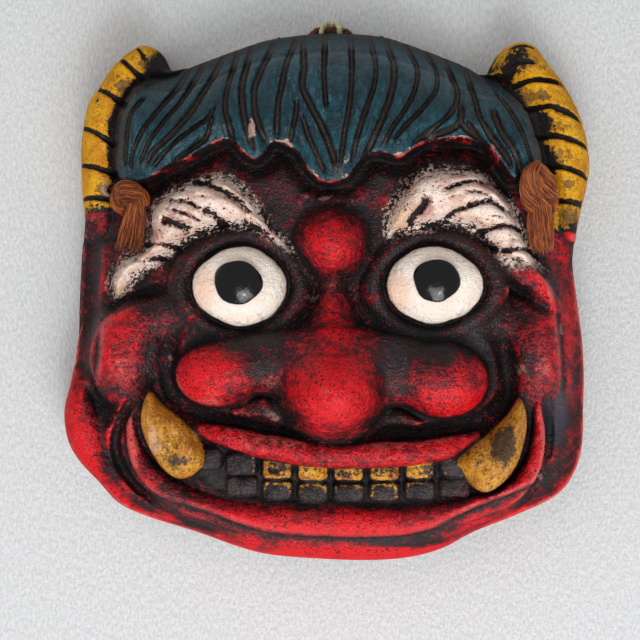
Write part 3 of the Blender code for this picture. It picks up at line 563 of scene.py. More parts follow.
def brows(r):
    for outline in BROWS:
        b = r.field(outline, 14, 4)
        r.h += BROW_HEIGHT * quarter_round((b + 1) / BROW_ROUND) * ease((b + 1) / 6)
    for line, width, depth in BROW_CUTS:
        r.groove(line, width * 1.5, depth * 0.45)
        r.groove(line, width * 0.8, depth * 0.8)
    r.ridge([(64, 13, 49, 4), (74, 7, 47.5, 4.5), (80, 2, 45.5, 4), (85, -3, 43, 3.2), (88, -8, 39, 2.5)],
            drop=5, k=6)
    r.groove([(58, 7), (66, 4.5), (74, 0.5), (81, -5), (87, -10)], 6, 1.3)
    r.groove([(-85, -7), (-77, -3), (-70, -0.5), (-60, 3)], 6, 2.6)
    r.mound(1.4, 19, 13.5, 14, 64, 14, k=5)
    for wrinkle in FROWN:
        r.ridge(wrinkle, drop=2.5, k=2)


brows(relief)
tell_height("brows")

# %% [markdown]
# ## Eyes
# Each eye is a ball pressed into a socket, with a thin lid round it and a raised disc for the pupil.  The
# socket is lowered first, the lid is a low ring laid round it, and the ball and its pupil are added last.
# Their outlines waver a little, because a hand cut them.

# %% Eyes in the clay
# each eye: centre, half width, half height of the ball, then centre and radius of the pupil
EYES = [(-32.9, 2.9, 17.5, 14.8, -33.2, 4.2, 8.6), (39.7, 3.4, 18.0, 14.4, 40.0, 5.0, 8.4)]
SOCKET_FLOOR, LID_TOP, BALL_TOP, PUPIL_TOP = 47.5, 51.0, 58, 60.4
LID_AWAY = 4.2      # from the ball's border to the middle of the lid


def eyes(r):
    for cx, cy, rx, ry, px, py, pupil in EYES:
        angle = np.arctan2(r.y - cy, r.x - cx)
        wobble = 1 + 0.02 * np.cos(4 * angle) + 0.012 * np.sin(3 * angle + cx)
        e = np.hypot((r.x - cx) / rx, (r.y - cy) / ry) / wobble
        away = (e - 1) * (rx + ry) / 2
        r.h = np.where(away < 9.5, blend_min(r.h, SOCKET_FLOOR + 6 * ease((away - 1) / 9), 4), r.h)
        lid = LID_TOP - 2.5 * ((away - LID_AWAY) / 3.4) ** 2
        r.h = np.where(np.abs(away - LID_AWAY) < 4.5, blend_max(r.h, lid, 2.5), r.h)
        r.add(BALL_TOP - 8 * (1 - np.sqrt(np.clip(1 - e * e, 0, 1))) - np.maximum(e - 1, 0) * CAP_FALL, 1)
        q = np.hypot(r.x - px, r.y - py) / pupil
        r.add(PUPIL_TOP - 2.6 * q ** 2 - np.maximum(q - 1, 0) * CAP_FALL, 0.8)


eyes(relief)
tell_height("eyes")

# %% [markdown]
# ## Nose
# The highest part of the mask: a fat roll down the middle that ends in a ball, with a smaller ball for each
# wing, and a tooled crease below that parts it from the lip.


# %% Nose in the clay
def nose(r):
    r.cap(-40, -29.5, 17.5, 12.6, 62, 16, turn=4, k=6)
    r.cap(42.5, -31.8, 17.5, 14.4, 63, 16, turn=-6, k=6)
    r.ridge([(-36, -27, 60, 11), (-20, -25.5, 61, 12), (1.5, -28, 66, 16), (24, -28, 61, 13.5),
             (36, -30, 60, 12.5)], drop=13, k=6)
    r.ridge([(1.5, 8, 47, 6), (1.6, -1, 51, 8.5), (1.6, -10, 57, 12), (1.8, -20, 65, 17), (2, -29, 72, 19.5),
             (2, -34, 73, 18)], drop=24, k=8)
    r.mound(2, -35.5, 19, 18, 78.5, 22, k=7)
    r.ridge([(-34, -44, 48, 2.5), (-24, -42.5, 51, 4), (-15, -47, 49, 3)], drop=3, k=3)
    r.ridge([(15, -48, 49, 3), (25, -46, 50.5, 3.5), (34, -49, 48, 2)], drop=3, k=3)
    r.groove([(-50, -8), (-57.5, -15), (-60.5, -26), (-59, -36), (-52.5, -43), (-44, -46.5), (-35, -48.5),
              (-25, -50.5), (-12, -53.5), (0, -56)], 7.5, 3.4)
    r.groove([(56, -9), (65, -18), (68.5, -30), (66.5, -40), (58, -47.5), (47, -51), (35, -52.5), (22, -53),
              (8, -56)], 8.5, 3.6)


nose(relief)
tell_height("nose")

# %% [markdown]
# ## Mouth
# The mouth is sunk first.  Two rows of square teeth rise from its floor, a band of lip is rolled on above and
# below, the lines of the jaw are tooled in, and a fang is set over each corner.

# %% Fangs, mouth and lips
FANGS = [[(-67, -36.5), (-70, -43), (-70, -50), (-67, -58), (-62.5, -65), (-57, -69), (-51.5, -68.5),
          (-46.5, -64), (-45.5, -59), (-48.5, -53), (-55, -46.5), (-61.5, -41.5)],
         [(72, -39), (74.6, -45), (74.3, -53), (71.5, -63), (66.5, -70), (60, -74.3), (54.5, -72.5),
          (50, -66.5), (48, -62), (54, -56.5), (61, -51), (67, -45.5)]]
MOUTH = [(-47, -57), (-38, -58.5), (-28, -61), (-10, -64), (10, -65), (30, -64), (48, -62), (52, -68),
         (48, -75), (30, -80.5), (0, -79.5), (-25, -78.5), (-42, -75), (-50, -68)]
UPPER_LIP = [(-53, -50.5, 47, 2.2), (-46, -51.5, 50.5, 3.2), (-37, -53.5, 53.5, 4), (-28, -56, 54, 4.5),
             (-15, -58.5, 54.5, 5), (2, -60.3, 55, 5), (20, -60, 54.5, 5), (34, -59.3, 54, 4.6),
             (46, -57.3, 53, 4.2), (56, -53.5, 49, 2.4)]
LOWER_LIP = [(-73.5, -40, 41, 2), (-74.5, -50, 43, 2.4), (-73, -59, 44.5, 3.2), (-68, -67, 45.5, 4.5),
             (-58, -75, 46, 5), (-46, -80.5, 47, 5.5), (-32, -84.3, 48, 6), (-15, -85.5, 48.5, 6.4),
             (3, -85.8, 48.5, 6.4), (22, -86, 48.5, 5.8), (40, -84, 48, 5.4), (56, -80.5, 47.5, 4.8),
             (69, -75.5, 47, 4.2), (77, -66, 46, 3.6), (80, -54, 45, 2.8), (79.5, -42, 43, 2)]
# tooled lines are (points, width, depth): deep beside the fangs, shallow under the chin
JAW_CUTS = [
    ([(-71.5, -36), (-76.5, -44), (-80.5, -52), (-81.5, -59), (-79, -66.5), (-73, -74), (-65, -80)], 5, 3.6),
    ([(-75, -72), (-65, -80), (-54, -86), (-43, -91), (-30, -95)], 4, 1.8),
    ([(82, -36), (84.5, -46), (85, -56), (83, -66)], 5, 2.2),
    ([(84, -62), (79, -74.5), (72, -82), (60, -89), (48, -93.5), (36, -95.5), (12, -96)], 4, 1.4),
]
print("tooled lines of the jaw:", len(JAW_CUTS))

# %% Teeth in the clay
TOOTH_HALF, TOOTH_PITCH, TOOTH_MIDDLE = 5.9, 13.4, -5.6
TOOTH_SQUARE = 4.5      # power of the ovals that the teeth are: 2 is round, more is squarer
# each row of teeth: height on the face, half height, top, and its first tooth counted from the middle
TOOTH_ROWS = [(-66.3, 4.1, 48.5, -3), (-74.6, 3.7, 45.6, -2)]


def teeth():
    """Middle, half height and top of every tooth, in two rows that rise towards the corners."""
    for row_y, half, top, first in TOOTH_ROWS:
        for i in range(first, 5):
            x = TOOTH_MIDDLE + TOOTH_PITCH * i
            rise = 0.0020 if x < 0 else 0.0008
            yield x, row_y + rise * (x - 2) ** 2, half, top


print("teeth:", len(list(teeth())))

# %% Mouth in the clay
MOUTH_FLOOR, FANG_FOOT, FANG_RISE = 41.5, 46, 10
BELOW_ALL = -99


def mouth(r):
    sunk = ease((r.field(MOUTH, 8) + 0.5) / 2.5)
    r.h -= sunk * (r.h - MOUTH_FLOOR)
    for x, y, half, top in teeth():
        r.cap(x, y, TOOTH_HALF, half, top, 1.6, k=0.6, power=TOOTH_SQUARE)
    r.ridge(UPPER_LIP, drop=6, k=1)
    r.ridge(LOWER_LIP, drop=7, k=1.5)
    for line, width, depth in JAW_CUTS:
        r.groove(line, width, depth)
    for outline in FANGS:
        b = r.field(outline, 12, 4)
        z = FANG_FOOT + FANG_RISE * quarter_round(b / 9) - np.maximum(-b, 0) * 8
        r.h = blend_max(r.h, np.where(b > -8, z, BELOW_ALL), 0.6)


mouth(relief)
tell_height("mouth and all")

# %% [markdown]
# ## Hair
# The hair is a thick cap of clay with a ragged fringe, combed with one deep stroke for each lock.  It is laid
# on last, so that its edge overlaps the forehead, and the clay just below it is pressed down into a shadow
# line.

# %% Hairline and locks
HAIR = [(0, 112), (40, 106), (62, 92), (68, 80), (74, 71), (78, 60), (80.5, 52), (80, 43), (75.5, 42),
        (72, 46), (69.5, 43.5), (65, 49), (61, 55.5), (55, 58.5), (43, 58.5), (35, 57), (30, 53.5),
        (26, 51.5), (20, 53), (14, 52), (10.5, 48), (7, 43.5), (1, 42), (-4, 43.5), (-8, 48), (-11, 53),
        (-15, 55.5), (-19, 57), (-22, 56), (-24, 52.5), (-27, 50.5), (-31, 53), (-34, 56.5), (-38, 58),
        (-44, 56), (-51, 52), (-58, 49), (-62, 47), (-67, 44), (-75, 43), (-80, 46), (-81.5, 54),
        (-81, 64), (-78, 73), (-72, 81), (-64, 88), (-45, 104)]
LOCKS = [
    [(-68, 76), (-74, 67), (-75.5, 56.5), (-76, 46)],
    [(-57, 80), (-63, 70), (-69, 61), (-73, 52.5), (-74, 44)],
    [(-50.5, 83), (-56, 72), (-61, 65), (-66.5, 56.5), (-71.5, 46)],
    [(-43, 85), (-47.5, 75.5), (-52, 67), (-59, 58.5), (-65.5, 52), (-70, 45)],
    [(-41, 73), (-44.5, 66), (-49.5, 62), (-56, 57), (-62.5, 50.5), (-67, 45.5)],
    [(-42.5, 68), (-45, 59), (-50, 54.5), (-59, 48.5)],
    [(-35.5, 90), (-37.5, 79.5), (-38.5, 70.5), (-37, 64), (-34.5, 55)],
    [(-30, 92), (-32, 81), (-32, 72.5), (-30.5, 63), (-26.5, 50.5)],
    [(-21.5, 95), (-25, 85), (-27.5, 76.5), (-27, 67), (-24.5, 59), (-22, 54)],
    [(-13, 96), (-15.5, 88), (-17, 79.5), (-18.5, 70), (-19, 56)],
    [(-9.5, 97), (-9, 86), (-9.5, 77.5), (-6.5, 70), (-2, 61), (1.5, 52), (3.5, 43)],
    [(-11.5, 73.5), (-12, 66), (-14.5, 55)],
    [(-10, 68), (-7.5, 59), (-3.5, 50), (-0.5, 43)],
    [(-1, 98), (-1.5, 82.5), (-0.5, 67)],
    [(9, 98), (9, 82.5), (8, 70.5), (6, 58.5), (4, 43)],
    [(16.5, 97), (18, 88.5), (17.5, 79), (14.5, 69.5), (11, 58.5), (8, 46)],
    [(23, 96), (25, 86.5), (24, 76.5), (20.5, 66), (16.5, 57), (12.5, 49)],
    [(31, 95), (34, 86.5), (32.5, 76.5), (28.5, 68.5), (23.5, 61), (19.5, 53)],
    [(39, 92), (41.5, 85), (40.5, 76.5), (35.5, 69.5), (28, 61.5), (22.5, 54.5)],
    [(46, 89), (49, 77), (46.5, 68.5), (39, 61.5), (29, 54)],
    [(50, 73), (49, 64), (42, 60), (34, 57)],
    [(49, 64.5), (53.5, 60.5), (57, 57.5)],
    [(54, 84), (56, 73), (57, 66), (61, 59), (66, 52), (70, 45)],
    [(62, 72), (64, 62), (69, 53), (73, 44)],
    [(51, 66), (56, 59.5), (60.5, 53.5), (64, 48)],
    [(64, 79), (69, 68), (73, 58), (77, 46)],
]
LOCK_WIDTHS = [2.0, 2.2, 2.0, 3.0, 2.0, 1.8, 2.4, 3.0, 2.8, 2.6, 3.0, 2.0, 2.2]     # taken in turn
print("locks:", len(LOCKS))


# %% Hair in the clay
HAIR_TOP, HAIR_ROUND, HAIR_EDGE = 58, 50, 4.5      # top, reach of its round, and how much its edge thins out
SHADOW_LINE = 3.5                                   # how far the clay below the fringe is pressed down


def hair(r, edge):
    b = r.field(HAIR, 10, 4)
    r.h -= SHADOW_LINE * ease((b + 9.5) / 7) * ease((74 - np.abs(r.x)) / 8)
    z = HAIR_TOP * quarter_round(edge / HAIR_ROUND) - HAIR_EDGE * (1 - ease(b / 6)) - np.maximum(-b, 0) * 5
    r.h = blend_max(r.h, np.where(b > -9.5, z, BELOW_ALL), 1.2)
    for k, line in enumerate(LOCKS):
        r.groove(line, 5.5, 0.8)
        r.groove(line, LOCK_WIDTHS[k % len(LOCK_WIDTHS)], 2.2, taper=0.16)


hair(relief, edge)
tell_height("hair and all")

# %% [markdown]
# ## Horns
# Each horn is one thick roll that leans on the side of the head, cut across by a few rings.

# %% Horns in the clay
# rolls are (x, y, height, half width)
HORNS = [[(-64, 91, 31, 7), (-71, 91.5, 34, 9.5), (-79, 85.5, 37, 10), (-86, 75, 39, 10),
          (-89, 61, 40, 9.5), (-89, 45, 38, 9), (-88, 27, 34, 8.5)],
         [(69, 91, 31, 7), (75, 90, 34, 10), (82, 82.5, 37, 10.5), (87.5, 72, 39, 11),
          (91, 58.5, 40, 12.5), (94, 44, 38, 9.5), (94, 27, 33, 6.5)]]
HORN_RINGS = [[(-80, 91), (-75, 86.5), (-71, 82.5)], [(-90, 80), (-83, 76.5), (-76, 71)],
              [(-97, 66), (-88, 61.5), (-80, 56.5)], [(-98, 51), (-88, 48.5), (-79, 45.5)],
              [(-98, 37.5), (-89, 37.3), (-82, 36.5)],
              [(71, 80), (79, 82.5), (90, 81.5)], [(73, 70), (83, 72), (90, 71), (98, 67)],
              [(77, 60), (86, 60.5), (94, 59.3), (102, 56.5)], [(82, 49.5), (90, 48.7), (102, 45)],
              [(87, 36.6), (100, 34.7)]]


def horns(r):
    for roll in HORNS:
        r.ridge(roll, drop=16, k=0.8)
    for ring in HORN_RINGS:
        r.groove(ring, 2.6, 2.6, taper=0.08)


horns(relief)
print("horn rings:", len(HORN_RINGS))

# %% [markdown]
# ## Handwork
# The big forms came out of the mould.  The finer marks are handwork: hair strokes between the main locks,
# notched horn rings, uneven teeth, and the slow waviness that fingers leave on clay.

# %% Short strokes
HORN_TIPS = [[(-78, 99), (-73, 95), (-70, 89)], [(-71, 101), (-67, 97), (-65, 91)],
             [(-66, 99), (-63, 95), (-62, 91)],
             [(67, 87), (73, 89.5), (82, 89)], [(69, 95), (75, 97), (82, 95.5)]]
# brow strokes are (x, y) to (x, y)
BROW_STROKES = [
    (-56, 40, -48, 38), (-50, 37, -42, 36), (-43, 38, -35, 34), (-40, 33, -33, 29), (-62, 33, -55, 31),
    (-66, 24, -60, 22), (-58, 22, -51, 20.5), (-50, 28, -45, 26), (-34, 29, -29, 26), (-73, 16, -66, 15.5),
    (-78, 8, -71, 9.5), (-82, 3, -77, 4.5), (-36, 41, -30, 36), (34, 42, 40, 44), (30, 36, 34, 40),
    (38, 32, 34, 27), (45, 44, 53, 44), (56, 43, 62, 40), (44, 35, 50, 37), (48, 27, 53, 29),
    (60, 29, 66, 28), (65, 32, 69, 30), (66, 20.5, 73, 20.5), (70, 13.5, 77, 13.5), (56, 26, 60, 28)]
print("short strokes:", len(HORN_TIPS) + len(BROW_STROKES))


# %% Strokes by hand
FINE_WIDTH, BROW_WIDTH, KNUCKLE_WIDTH = 1.3, 1.4, 2.2


def strokes(r):
    """Marks too small for the moulded solid."""
    rng = np.random.default_rng(11)
    for line in LOCKS:
        for side in (-1, 1):
            away = side * rng.uniform(1.8, 2.9)
            lean = rng.uniform(-0.8, 0.8)
            strand = [(x + away + lean * i / len(line), y - 1.5) for i, (x, y) in enumerate(line)]
            r.groove(strand, FINE_WIDTH, 0.45, taper=0.35)
    for roll in HORNS:
        curve = smooth_curve(roll)
        for i in range(2, len(curve) - 3, 2):
            x, y, _, w = curve[i]
            a = rng.uniform(-0.6, 0.6) * w
            notch = [(x + a, y - 1.5), (x + a + rng.uniform(-1, 1), y), (x + a, y + 1.8)]
            r.groove(notch, FINE_WIDTH, 0.35)
    for x0, y0, x1, y1 in BROW_STROKES:
        bow = rng.uniform(-1, 1)
        r.groove([(x0, y0), ((x0 + x1) / 2, (y0 + y1) / 2 + bow), (x1, y1)], BROW_WIDTH, 0.7, taper=0.3)
    for knuckle in HORN_TIPS:
        r.groove(knuckle, KNUCKLE_WIDTH, 1.8, taper=0.25)


strokes(relief)
print("deepest cut (mm):", round(float(relief.cut.max()), 1))


# %% Waviness of the clay
def waviness(r, edge):
    """Uneven fangs and mouth, then slow hills and dips over the whole face."""
    for fang, seed in zip(FANGS, (21, 22)):
        r.h += ease(r.field(fang, 9, 4) / 3) * (1.0 * r.uneven(5, seed) + 0.6 * r.uneven(2.5, seed + 5))
    corner = ease(r.field(MOUTH, 8) / 3)
    r.h += corner * (0.5 * r.uneven(4, 31) + 0.3 * r.uneven(2, 32))
    soft = np.clip(edge / 6, 0, 1)
    r.h += soft * (0.55 * r.uneven(17, 3) + 0.40 * r.uneven(7, 5) + 0.15 * r.uneven(2.8, 7))


waviness(relief, edge)
tell_height("nose after handwork")

# %% [markdown]
# ## Side wall
# A press mould needs walls that lean inwards, so everything is cut back to a wall that turns over near the
# rim.  Horn rings and the roots of the locks then carry on down it, and a small raised eyelet rings the left
# cord hole.

# %% Side wall
SIDE_TOP, SIDE_SLOPE = 40, 4        # where the wall has turned over, and how it climbs on from there

side_wall = SIDE_TOP * quarter_round(edge / RIM_ROUND) + np.maximum(edge - RIM_ROUND, 0) * SIDE_SLOPE
relief.h = np.where(edge > 0, blend_min(relief.h, side_wall, 3 + 4 * ease(edge / 8)), 0)
tell_height("pressed forms")


# %% Over the edge
def rings_over_the_edge(r):
    for ring in HORN_RINGS:
        tip, before = (ring[0], ring[1]) if ring[0][0] < 0 else (ring[-1], ring[1])
        out = math.copysign(6, tip[0])
        past = (tip[0] + out, tip[1] + (tip[1] - before[1]) * 0.6)
        r.groove([before, tip, past], 2.6, 1.6, taper=0.3)


def roots_over_the_edge(r):
    """The locks that start at the crown run on down behind it."""
    for line in LOCKS:
        (x0, y0), (x1, y1) = line[:2]
        if y0 > 79:
            lean = (x0 - x1) / (y0 - y1) + x0 * 0.004
            root = [(x1, y1), (x0, y0), (x0 + lean * 7, y0 + 7), (x0 + lean * 14, y0 + 14)]
            r.groove(root, 3.0, 2.0, taper=0.3)


smooth = relief.h.copy()
rings_over_the_edge(relief)
roots_over_the_edge(relief)
relief.h = smooth + (relief.h - smooth) * ease(edge / 3)
tell_height("rings and roots")

# %% Left eyelet
EYELET_RADIUS, EYELET_LIP, LIP_WIDTH = 3.0, 0.8, 0.7

x, y = HOLES["left"]
lip_away = np.hypot(relief.x - x, relief.y - y) - EYELET_RADIUS
relief.h += EYELET_LIP * np.exp(-(lip_away / LIP_WIDTH) ** 2)
tell_height("finished relief")

# %% [markdown]
# ## Where each paint goes
# Each colour area is kept as a signed distance in millimetres, positive inside, or as an amount.  They become
# attributes of the mesh, and the shader sets the borders from them with brush noise, finer than the mesh
# itself.

# %% Horns and eyes as areas
FAR_OUT = -9.0      # millimetres outside, where an area's own distance is no longer worked out


def roll_area(r, roll):
    d, v = r.nearest(smooth_curve(roll), 16)
    return np.where(d < 15.9, v[..., 1] - d, FAR_OUT)


def eye_areas(r):
    """The white, the pupil, and how far out each spot of the white lies."""
    white, pupil, ring = (np.full_like(r.h, FAR_OUT) for _ in range(3))
    for cx, cy, rx, ry, px, py, size in EYES:
        angle = np.arctan2(r.y - cy, r.x - cx)
        wobble = 1 + 0.02 * np.cos(4 * angle) + 0.012 * np.sin(3 * angle + cx) + 0.008 * np.sin(7 * angle)
        e = np.hypot((r.x - cx) / rx, (r.y - cy) / ry) / wobble
        white = np.maximum(white, (1 - e) * (rx + ry) / 2)
        wobble = 1 + 0.03 * np.sin(3 * angle + 1) + 0.02 * np.cos(5 * angle)
        q = np.hypot((r.x - px) / 1.03, (r.y - py) * 1.04) / wobble
        pupil = np.maximum(pupil, size - q)
        ring = np.maximum(ring, np.where(e < 1.1, e, 0))
    return white, pupil, ring


white, pupil, ring = eye_areas(relief)
print("white of the eyes (mm2):", round(float((white > 0).sum()) * relief.step ** 2))

# %% Yellow on the teeth
UPPER_ROW_ABOVE = 47                    # only the upper row of teeth stands higher than this
YELLOW_FROM, YELLOW_TO = -25, 34        # how far the yellow reaches to the left and to the right


def tooth_amount(r):
    """Yellow caught the upper row all over, and the lower row along its edges."""
    amount = np.full_like(r.h, -1.0)
    for x, y, half, top in teeth():
        border = (1 - r.oval(x, y, TOOTH_HALF - 0.5, half - 0.4, power=TOOTH_SQUARE)) * half
        middle = ease((border - 0.5) / 1.4)
        lift = (r.y - y) / half
        yellow = 1.0 - 0.62 * middle if top > UPPER_ROW_ABOVE else 0.3 + 0.55 * lift - 0.75 * middle
        yellow = yellow - 1.4 * ease((YELLOW_FROM - r.x) / 6) - 1.0 * ease((r.x - YELLOW_TO) / 10)
        amount = np.where(border > 0, yellow, amount)
    return amount


tooth = tooth_amount(relief)
print("yellow on the teeth (mm2):", round(float((tooth > 0.3).sum()) * relief.step ** 2))

# %% [markdown]
# ## Listed amounts
# A dry brush catches high places, but a hand also presses more in one place than in another, and years of
# handling chip and soil a mask.  Each list below holds soft round spots of such an extra amount: where it is,
# how wide and how high, and how much more (or less) there is of it.  The pale spots also mark painted
# highlights, and the cool spots a painted reflection on the black.


# %% Soft spots
SPOT_POWER = 1.3        # more would keep a spot full for longer before it fades


def spots(r, places):
    """Soft round amounts (x, y, half width, half height, amount), added up."""
    total = np.zeros_like(r.h)
    for x, y, rx, ry, amount in places:
        total += amount * (1 - ease(r.oval(x, y, rx, ry) ** SPOT_POWER))
    return total


# %% Red
# how much more (or less) red the brush left than the height alone would give
RED_SPOTS = [
    (-51, -9.6, 2.6, 3.6, 1.8), (-59, -24.5, 2, 2.4, 1.6), (-80, -66, 9, 6, -1.2), (-66, -80, 13, 5, -1.4),
    (-52, -89, 10, 3, -1.0), (-93, -46, 4, 12, -0.5), (82, -76, 12, 10, -0.9), (86, 104, 16, 10, -2.5),
    (71, 96, 7, 7, -2.0), (98, 14, 6, 14, -1.2), (2, -34, 22, 26, 1.35), (2, -8, 9, 14, 0.5),
    (-43, -31, 17, 14, 1.3), (-22, -23, 9, 12, -1.3), (25, -22, 10, 14, -1.7), (46, -38, 20, 8, 1.0),
    (44, -19, 24, 9, -1.2), (1.5, 17, 13, 13, 0.9), (-25, -46, 22, 6, -0.9), (25, -48, 24, 6, -0.9),
    (1, 30, 14, 6, -0.5), (-76, -20, 12, 20, 0.8), (-60, -30, 7, 18, -1.2), (66, -30, 6, 18, -1.1),
    (84, -20, 12, 22, 0.5), (92, -16, 5, 24, 0.7), (-95, -52, 12, 24, 0.9), (0, -100, 60, 8, 1.0),
    (0, -86, 70, 7, 0.9), (0, -59, 56, 6, 0.6), (-34, -14, 28, 8, -1.2), (40, -14, 28, 8, -1.2),
    (24, 44, 12, 10, -0.7), (0, 37, 14, 6, -0.3), (-97, 0, 10, 44, -1.3), (-93, 25, 10, 8, -1.8),
    (99, -30, 7, 60, -0.5), (-34, 3, 38, 32, -2.2), (40, 4, 38, 32, -2.2), (79, 62, 8, 24, -2.5),
    (-82, 64, 7, 24, -2.5), (0, 44, 74, 14, -0.9), (-80, -68, 10, 14, -0.6), (88, -49, 9, 15, -1.5),
    (92, -66, 10, 10, -0.3), (-20, -92, 40, 5, 0.5), (20, -90, 40, 4, 0.5), (-20, 14, 10, 20, -0.6),
    (22, 16, 10, 20, -0.6), (-66, -2, 14, 6, -0.8), (-86, 24, 12, 9, -0.4), (-87, -38, 5, 9, -1.2),
    (-48, -88, 24, 5, -0.9), (30, -94.5, 24, 2.5, -1.5), (66, -84, 14, 4, -0.6), (-68, 8, 5, 5, 0.5),
    (80, 6, 4, 4, 0.9), (84, 1, 4, 4, 1.2), (87, -4, 4, 4, 1.0), (73, 2, 8, 4, -0.9), (80, -5, 6, 3, -0.9),
    (-50, -50.5, 6, 4, -0.9), (-74, -46, 4, 8, -0.8), (-66, -24, 5, 14, -0.6), (62, -85, 20, 7, 0.8),
    (84, -74, 10, 8, 0.5)]
# red that ran along under the hair fringe
FRINGE_SPOTS = [
    (-52, 51, 8, 2.6, 1.5), (-42, 55.5, 6, 2.6, 1.7), (-29, 50.5, 4, 2.6, 1.2), (-19, 55, 4, 3, 1.4),
    (-8, 46, 3.5, 3.5, 1.5), (-3, 42.4, 3.5, 2.6, 1.7), (4, 41.5, 5, 2.2, 1.7), (9, 46, 2.6, 3, 1.9),
    (13, 50.5, 4, 2.6, 1.7), (26, 50.8, 6, 2.6, 2.0), (33, 55.5, 5, 2.6, 1.8), (48, 58.2, 8, 2.6, 1.6),
    (-64, 45.5, 8, 2.2, 1.0), (63, 51, 4, 3, 1.0), (-10, 33, 2, 2, 0.8), (12, 38, 2, 3, 0.8),
    (18, 48, 3, 2, 0.9)]
print("red spots:", len(RED_SPOTS) + len(FRINGE_SPOTS))

# %% Pale sheen, cool reflection and worn places
# paler red from rubbing and painted highlight, a painted reflection tinting the black bluish, or worn through
PALE_SHEEN_SPOTS = [
    (-77, -27, 9, 12, 1.0), (-42, -38, 10, 6, 0.7), (-6, -42, 10, 8, 0.5), (-20, -56, 30, 4, 0.6),
    (20, -57, 30, 4, 0.5), (-73, -58, 5, 16, 0.8), (16, -36, 8, 9, 0.5), (46, -38, 8, 5, 0.6),
    (-96, -50, 7, 14, 0.4), (97, -10, 5, 40, 0.6), (2, 14, 5, 5, 0.3), (80, -28, 7, 10, 1.1),
    (-65, -54, 4, 9, 1.0), (66, -66, 5, 4, 0.5), (0, 76, 44, 22, 0.9), (-62, 74, 16, 22, -0.6),
    (62, 74, 16, 22, -0.3), (10, -97, 60, 12, -1.0)]
COOL_REFLECTION_SPOTS = [
    (87, -48, 9, 17, 1.2), (80, -32, 8, 8, 0.6), (-62, -26, 6, 12, 0.7), (26, -20, 8, 12, 0.5),
    (34, -58, 16, 3, 0.6), (-40, -70, 8, 6, 0.6), (-60, -10, 10, 5, 0.5), (78, -8, 10, 5, 0.5),
    (-86, -38, 5, 8, 0.8), (-90, 10, 6, 24, 0.4), (98, -20, 5, 34, 0.15)]
WEAR_SPOTS = [
    (-8.5, 36.3, 3.4, 1.8, 0.75), (-1.5, 35.8, 4.2, 1.5, 0.9), (-22, -44.5, 3.5, 2, 0.7),
    (-19, -46.5, 3.5, 2, 0.7), (-1.5, -34.5, 2, 3.5, 0.7), (-21, -33, 4, 4, 0.6), (72.5, -28, 3, 4, 0.7),
    (-59.5, -24, 2, 3, 0.9), (82, -70, 2, 2, 0.8), (-86, 36, 5, 3, 0.6), (-90, 29, 7, 4, 0.5),
    (88.6, -13, 1.2, 4, 1.0), (-6, -1.5, 5, 3, 0.5), (8, 34, 6, 2, 0.3)]
print("pale, bruised and worn spots:", len(PALE_SHEEN_SPOTS) + len(COOL_REFLECTION_SPOTS) + len(WEAR_SPOTS))

# %% Gold and cream
# where gold took on the horns and cream on the brows, and where the cream leans to pink or peach
GOLD_SPOTS = [
    (-97, 55, 3, 4, -0.7), (-88, 74, 4, 3, -0.9), (-93, 64, 4, 2.5, -0.5), (-80, 84, 4, 3, -0.8),
    (88, 84, 5, 3, -0.9), (91, 64, 4, 4, -0.8), (96, 26, 6, 6, -1.0), (95, 44, 5, 3, -0.8),
    (-74, 97, 7, 6, -0.4), (-66, 92, 8, 12, -1.9), (-90, 34, 12, 5, -0.6), (-87, 44, 6, 5, -0.8),
    (84, 98, 12, 5, 0.1), (73, 92, 8, 10, -1.8), (96, 52, 8, 5, -0.3), (99, 34, 9, 12, -0.8),
    (84, 50, 7, 8, -1.6), (81, 65, 8, 8, -2.0), (78, 76, 7, 5, 0.5), (78, 97, 5, 5, -0.5)]
BROW_SPOTS = [
    (-40, 34, 18, 10, 0.7), (-66, 12, 14, 8, 0.5), (-22, 26, 10, 8, -0.9), (46, 34, 20, 10, 0.7),
    (72, 20, 12, 8, 0.4), (80, 2, 8, 10, 0.2), (-80, 2, 6, 6, -0.3), (28, 36, 8, 14, -0.3)]
PINK_SPOTS = [
    (-54, 30, 12, 7, 0.6), (58, 40, 9, 4, 1.0), (36, 31, 6, 5, 0.9), (-66, 22, 7, 5, 0.6),
    (-80, 10, 7, 6, 0.5), (-24, 22, 8, 6, 0.6), (-62, 38, 8, 5, 0.5)]
PEACH_SPOTS = [
    (-46, 2, 8, 14, 1.0), (25, 0, 9, 12, 1.2), (-33, -9, 14, 4, 0.5), (38, -8, 14, 3, 0.4),
    (27, 27, 6, 9, 1.0), (-80, 2, 6, 5, 0.9), (-64, 18, 5, 3, 0.6)]
print("gold and cream spots:", len(GOLD_SPOTS + BROW_SPOTS + PINK_SPOTS + PEACH_SPOTS))

# %% Chips, soot and stains
# chips show bare clay in the teal, and stains darken the fangs
CHIPS = [
    (-28.5, 61, 2.5, 7, 1.1), (-17, 56, 7, 3.5, 0.9), (-39, 57.5, 3, 1.6, 1.3), (-44, 70, 3, 5, 0.2),
    (-5, 44, 3, 1.5, 0.9), (6, 44, 3, 2, 0.9), (50, 58.5, 5, 1.4, 1.2), (26, 51.5, 4, 1.4, 0.9),
    (8, 50, 5, 4, 0.4), (-70, 47, 6, 4, 0.3), (62, 52, 4, 8, 0.3)]
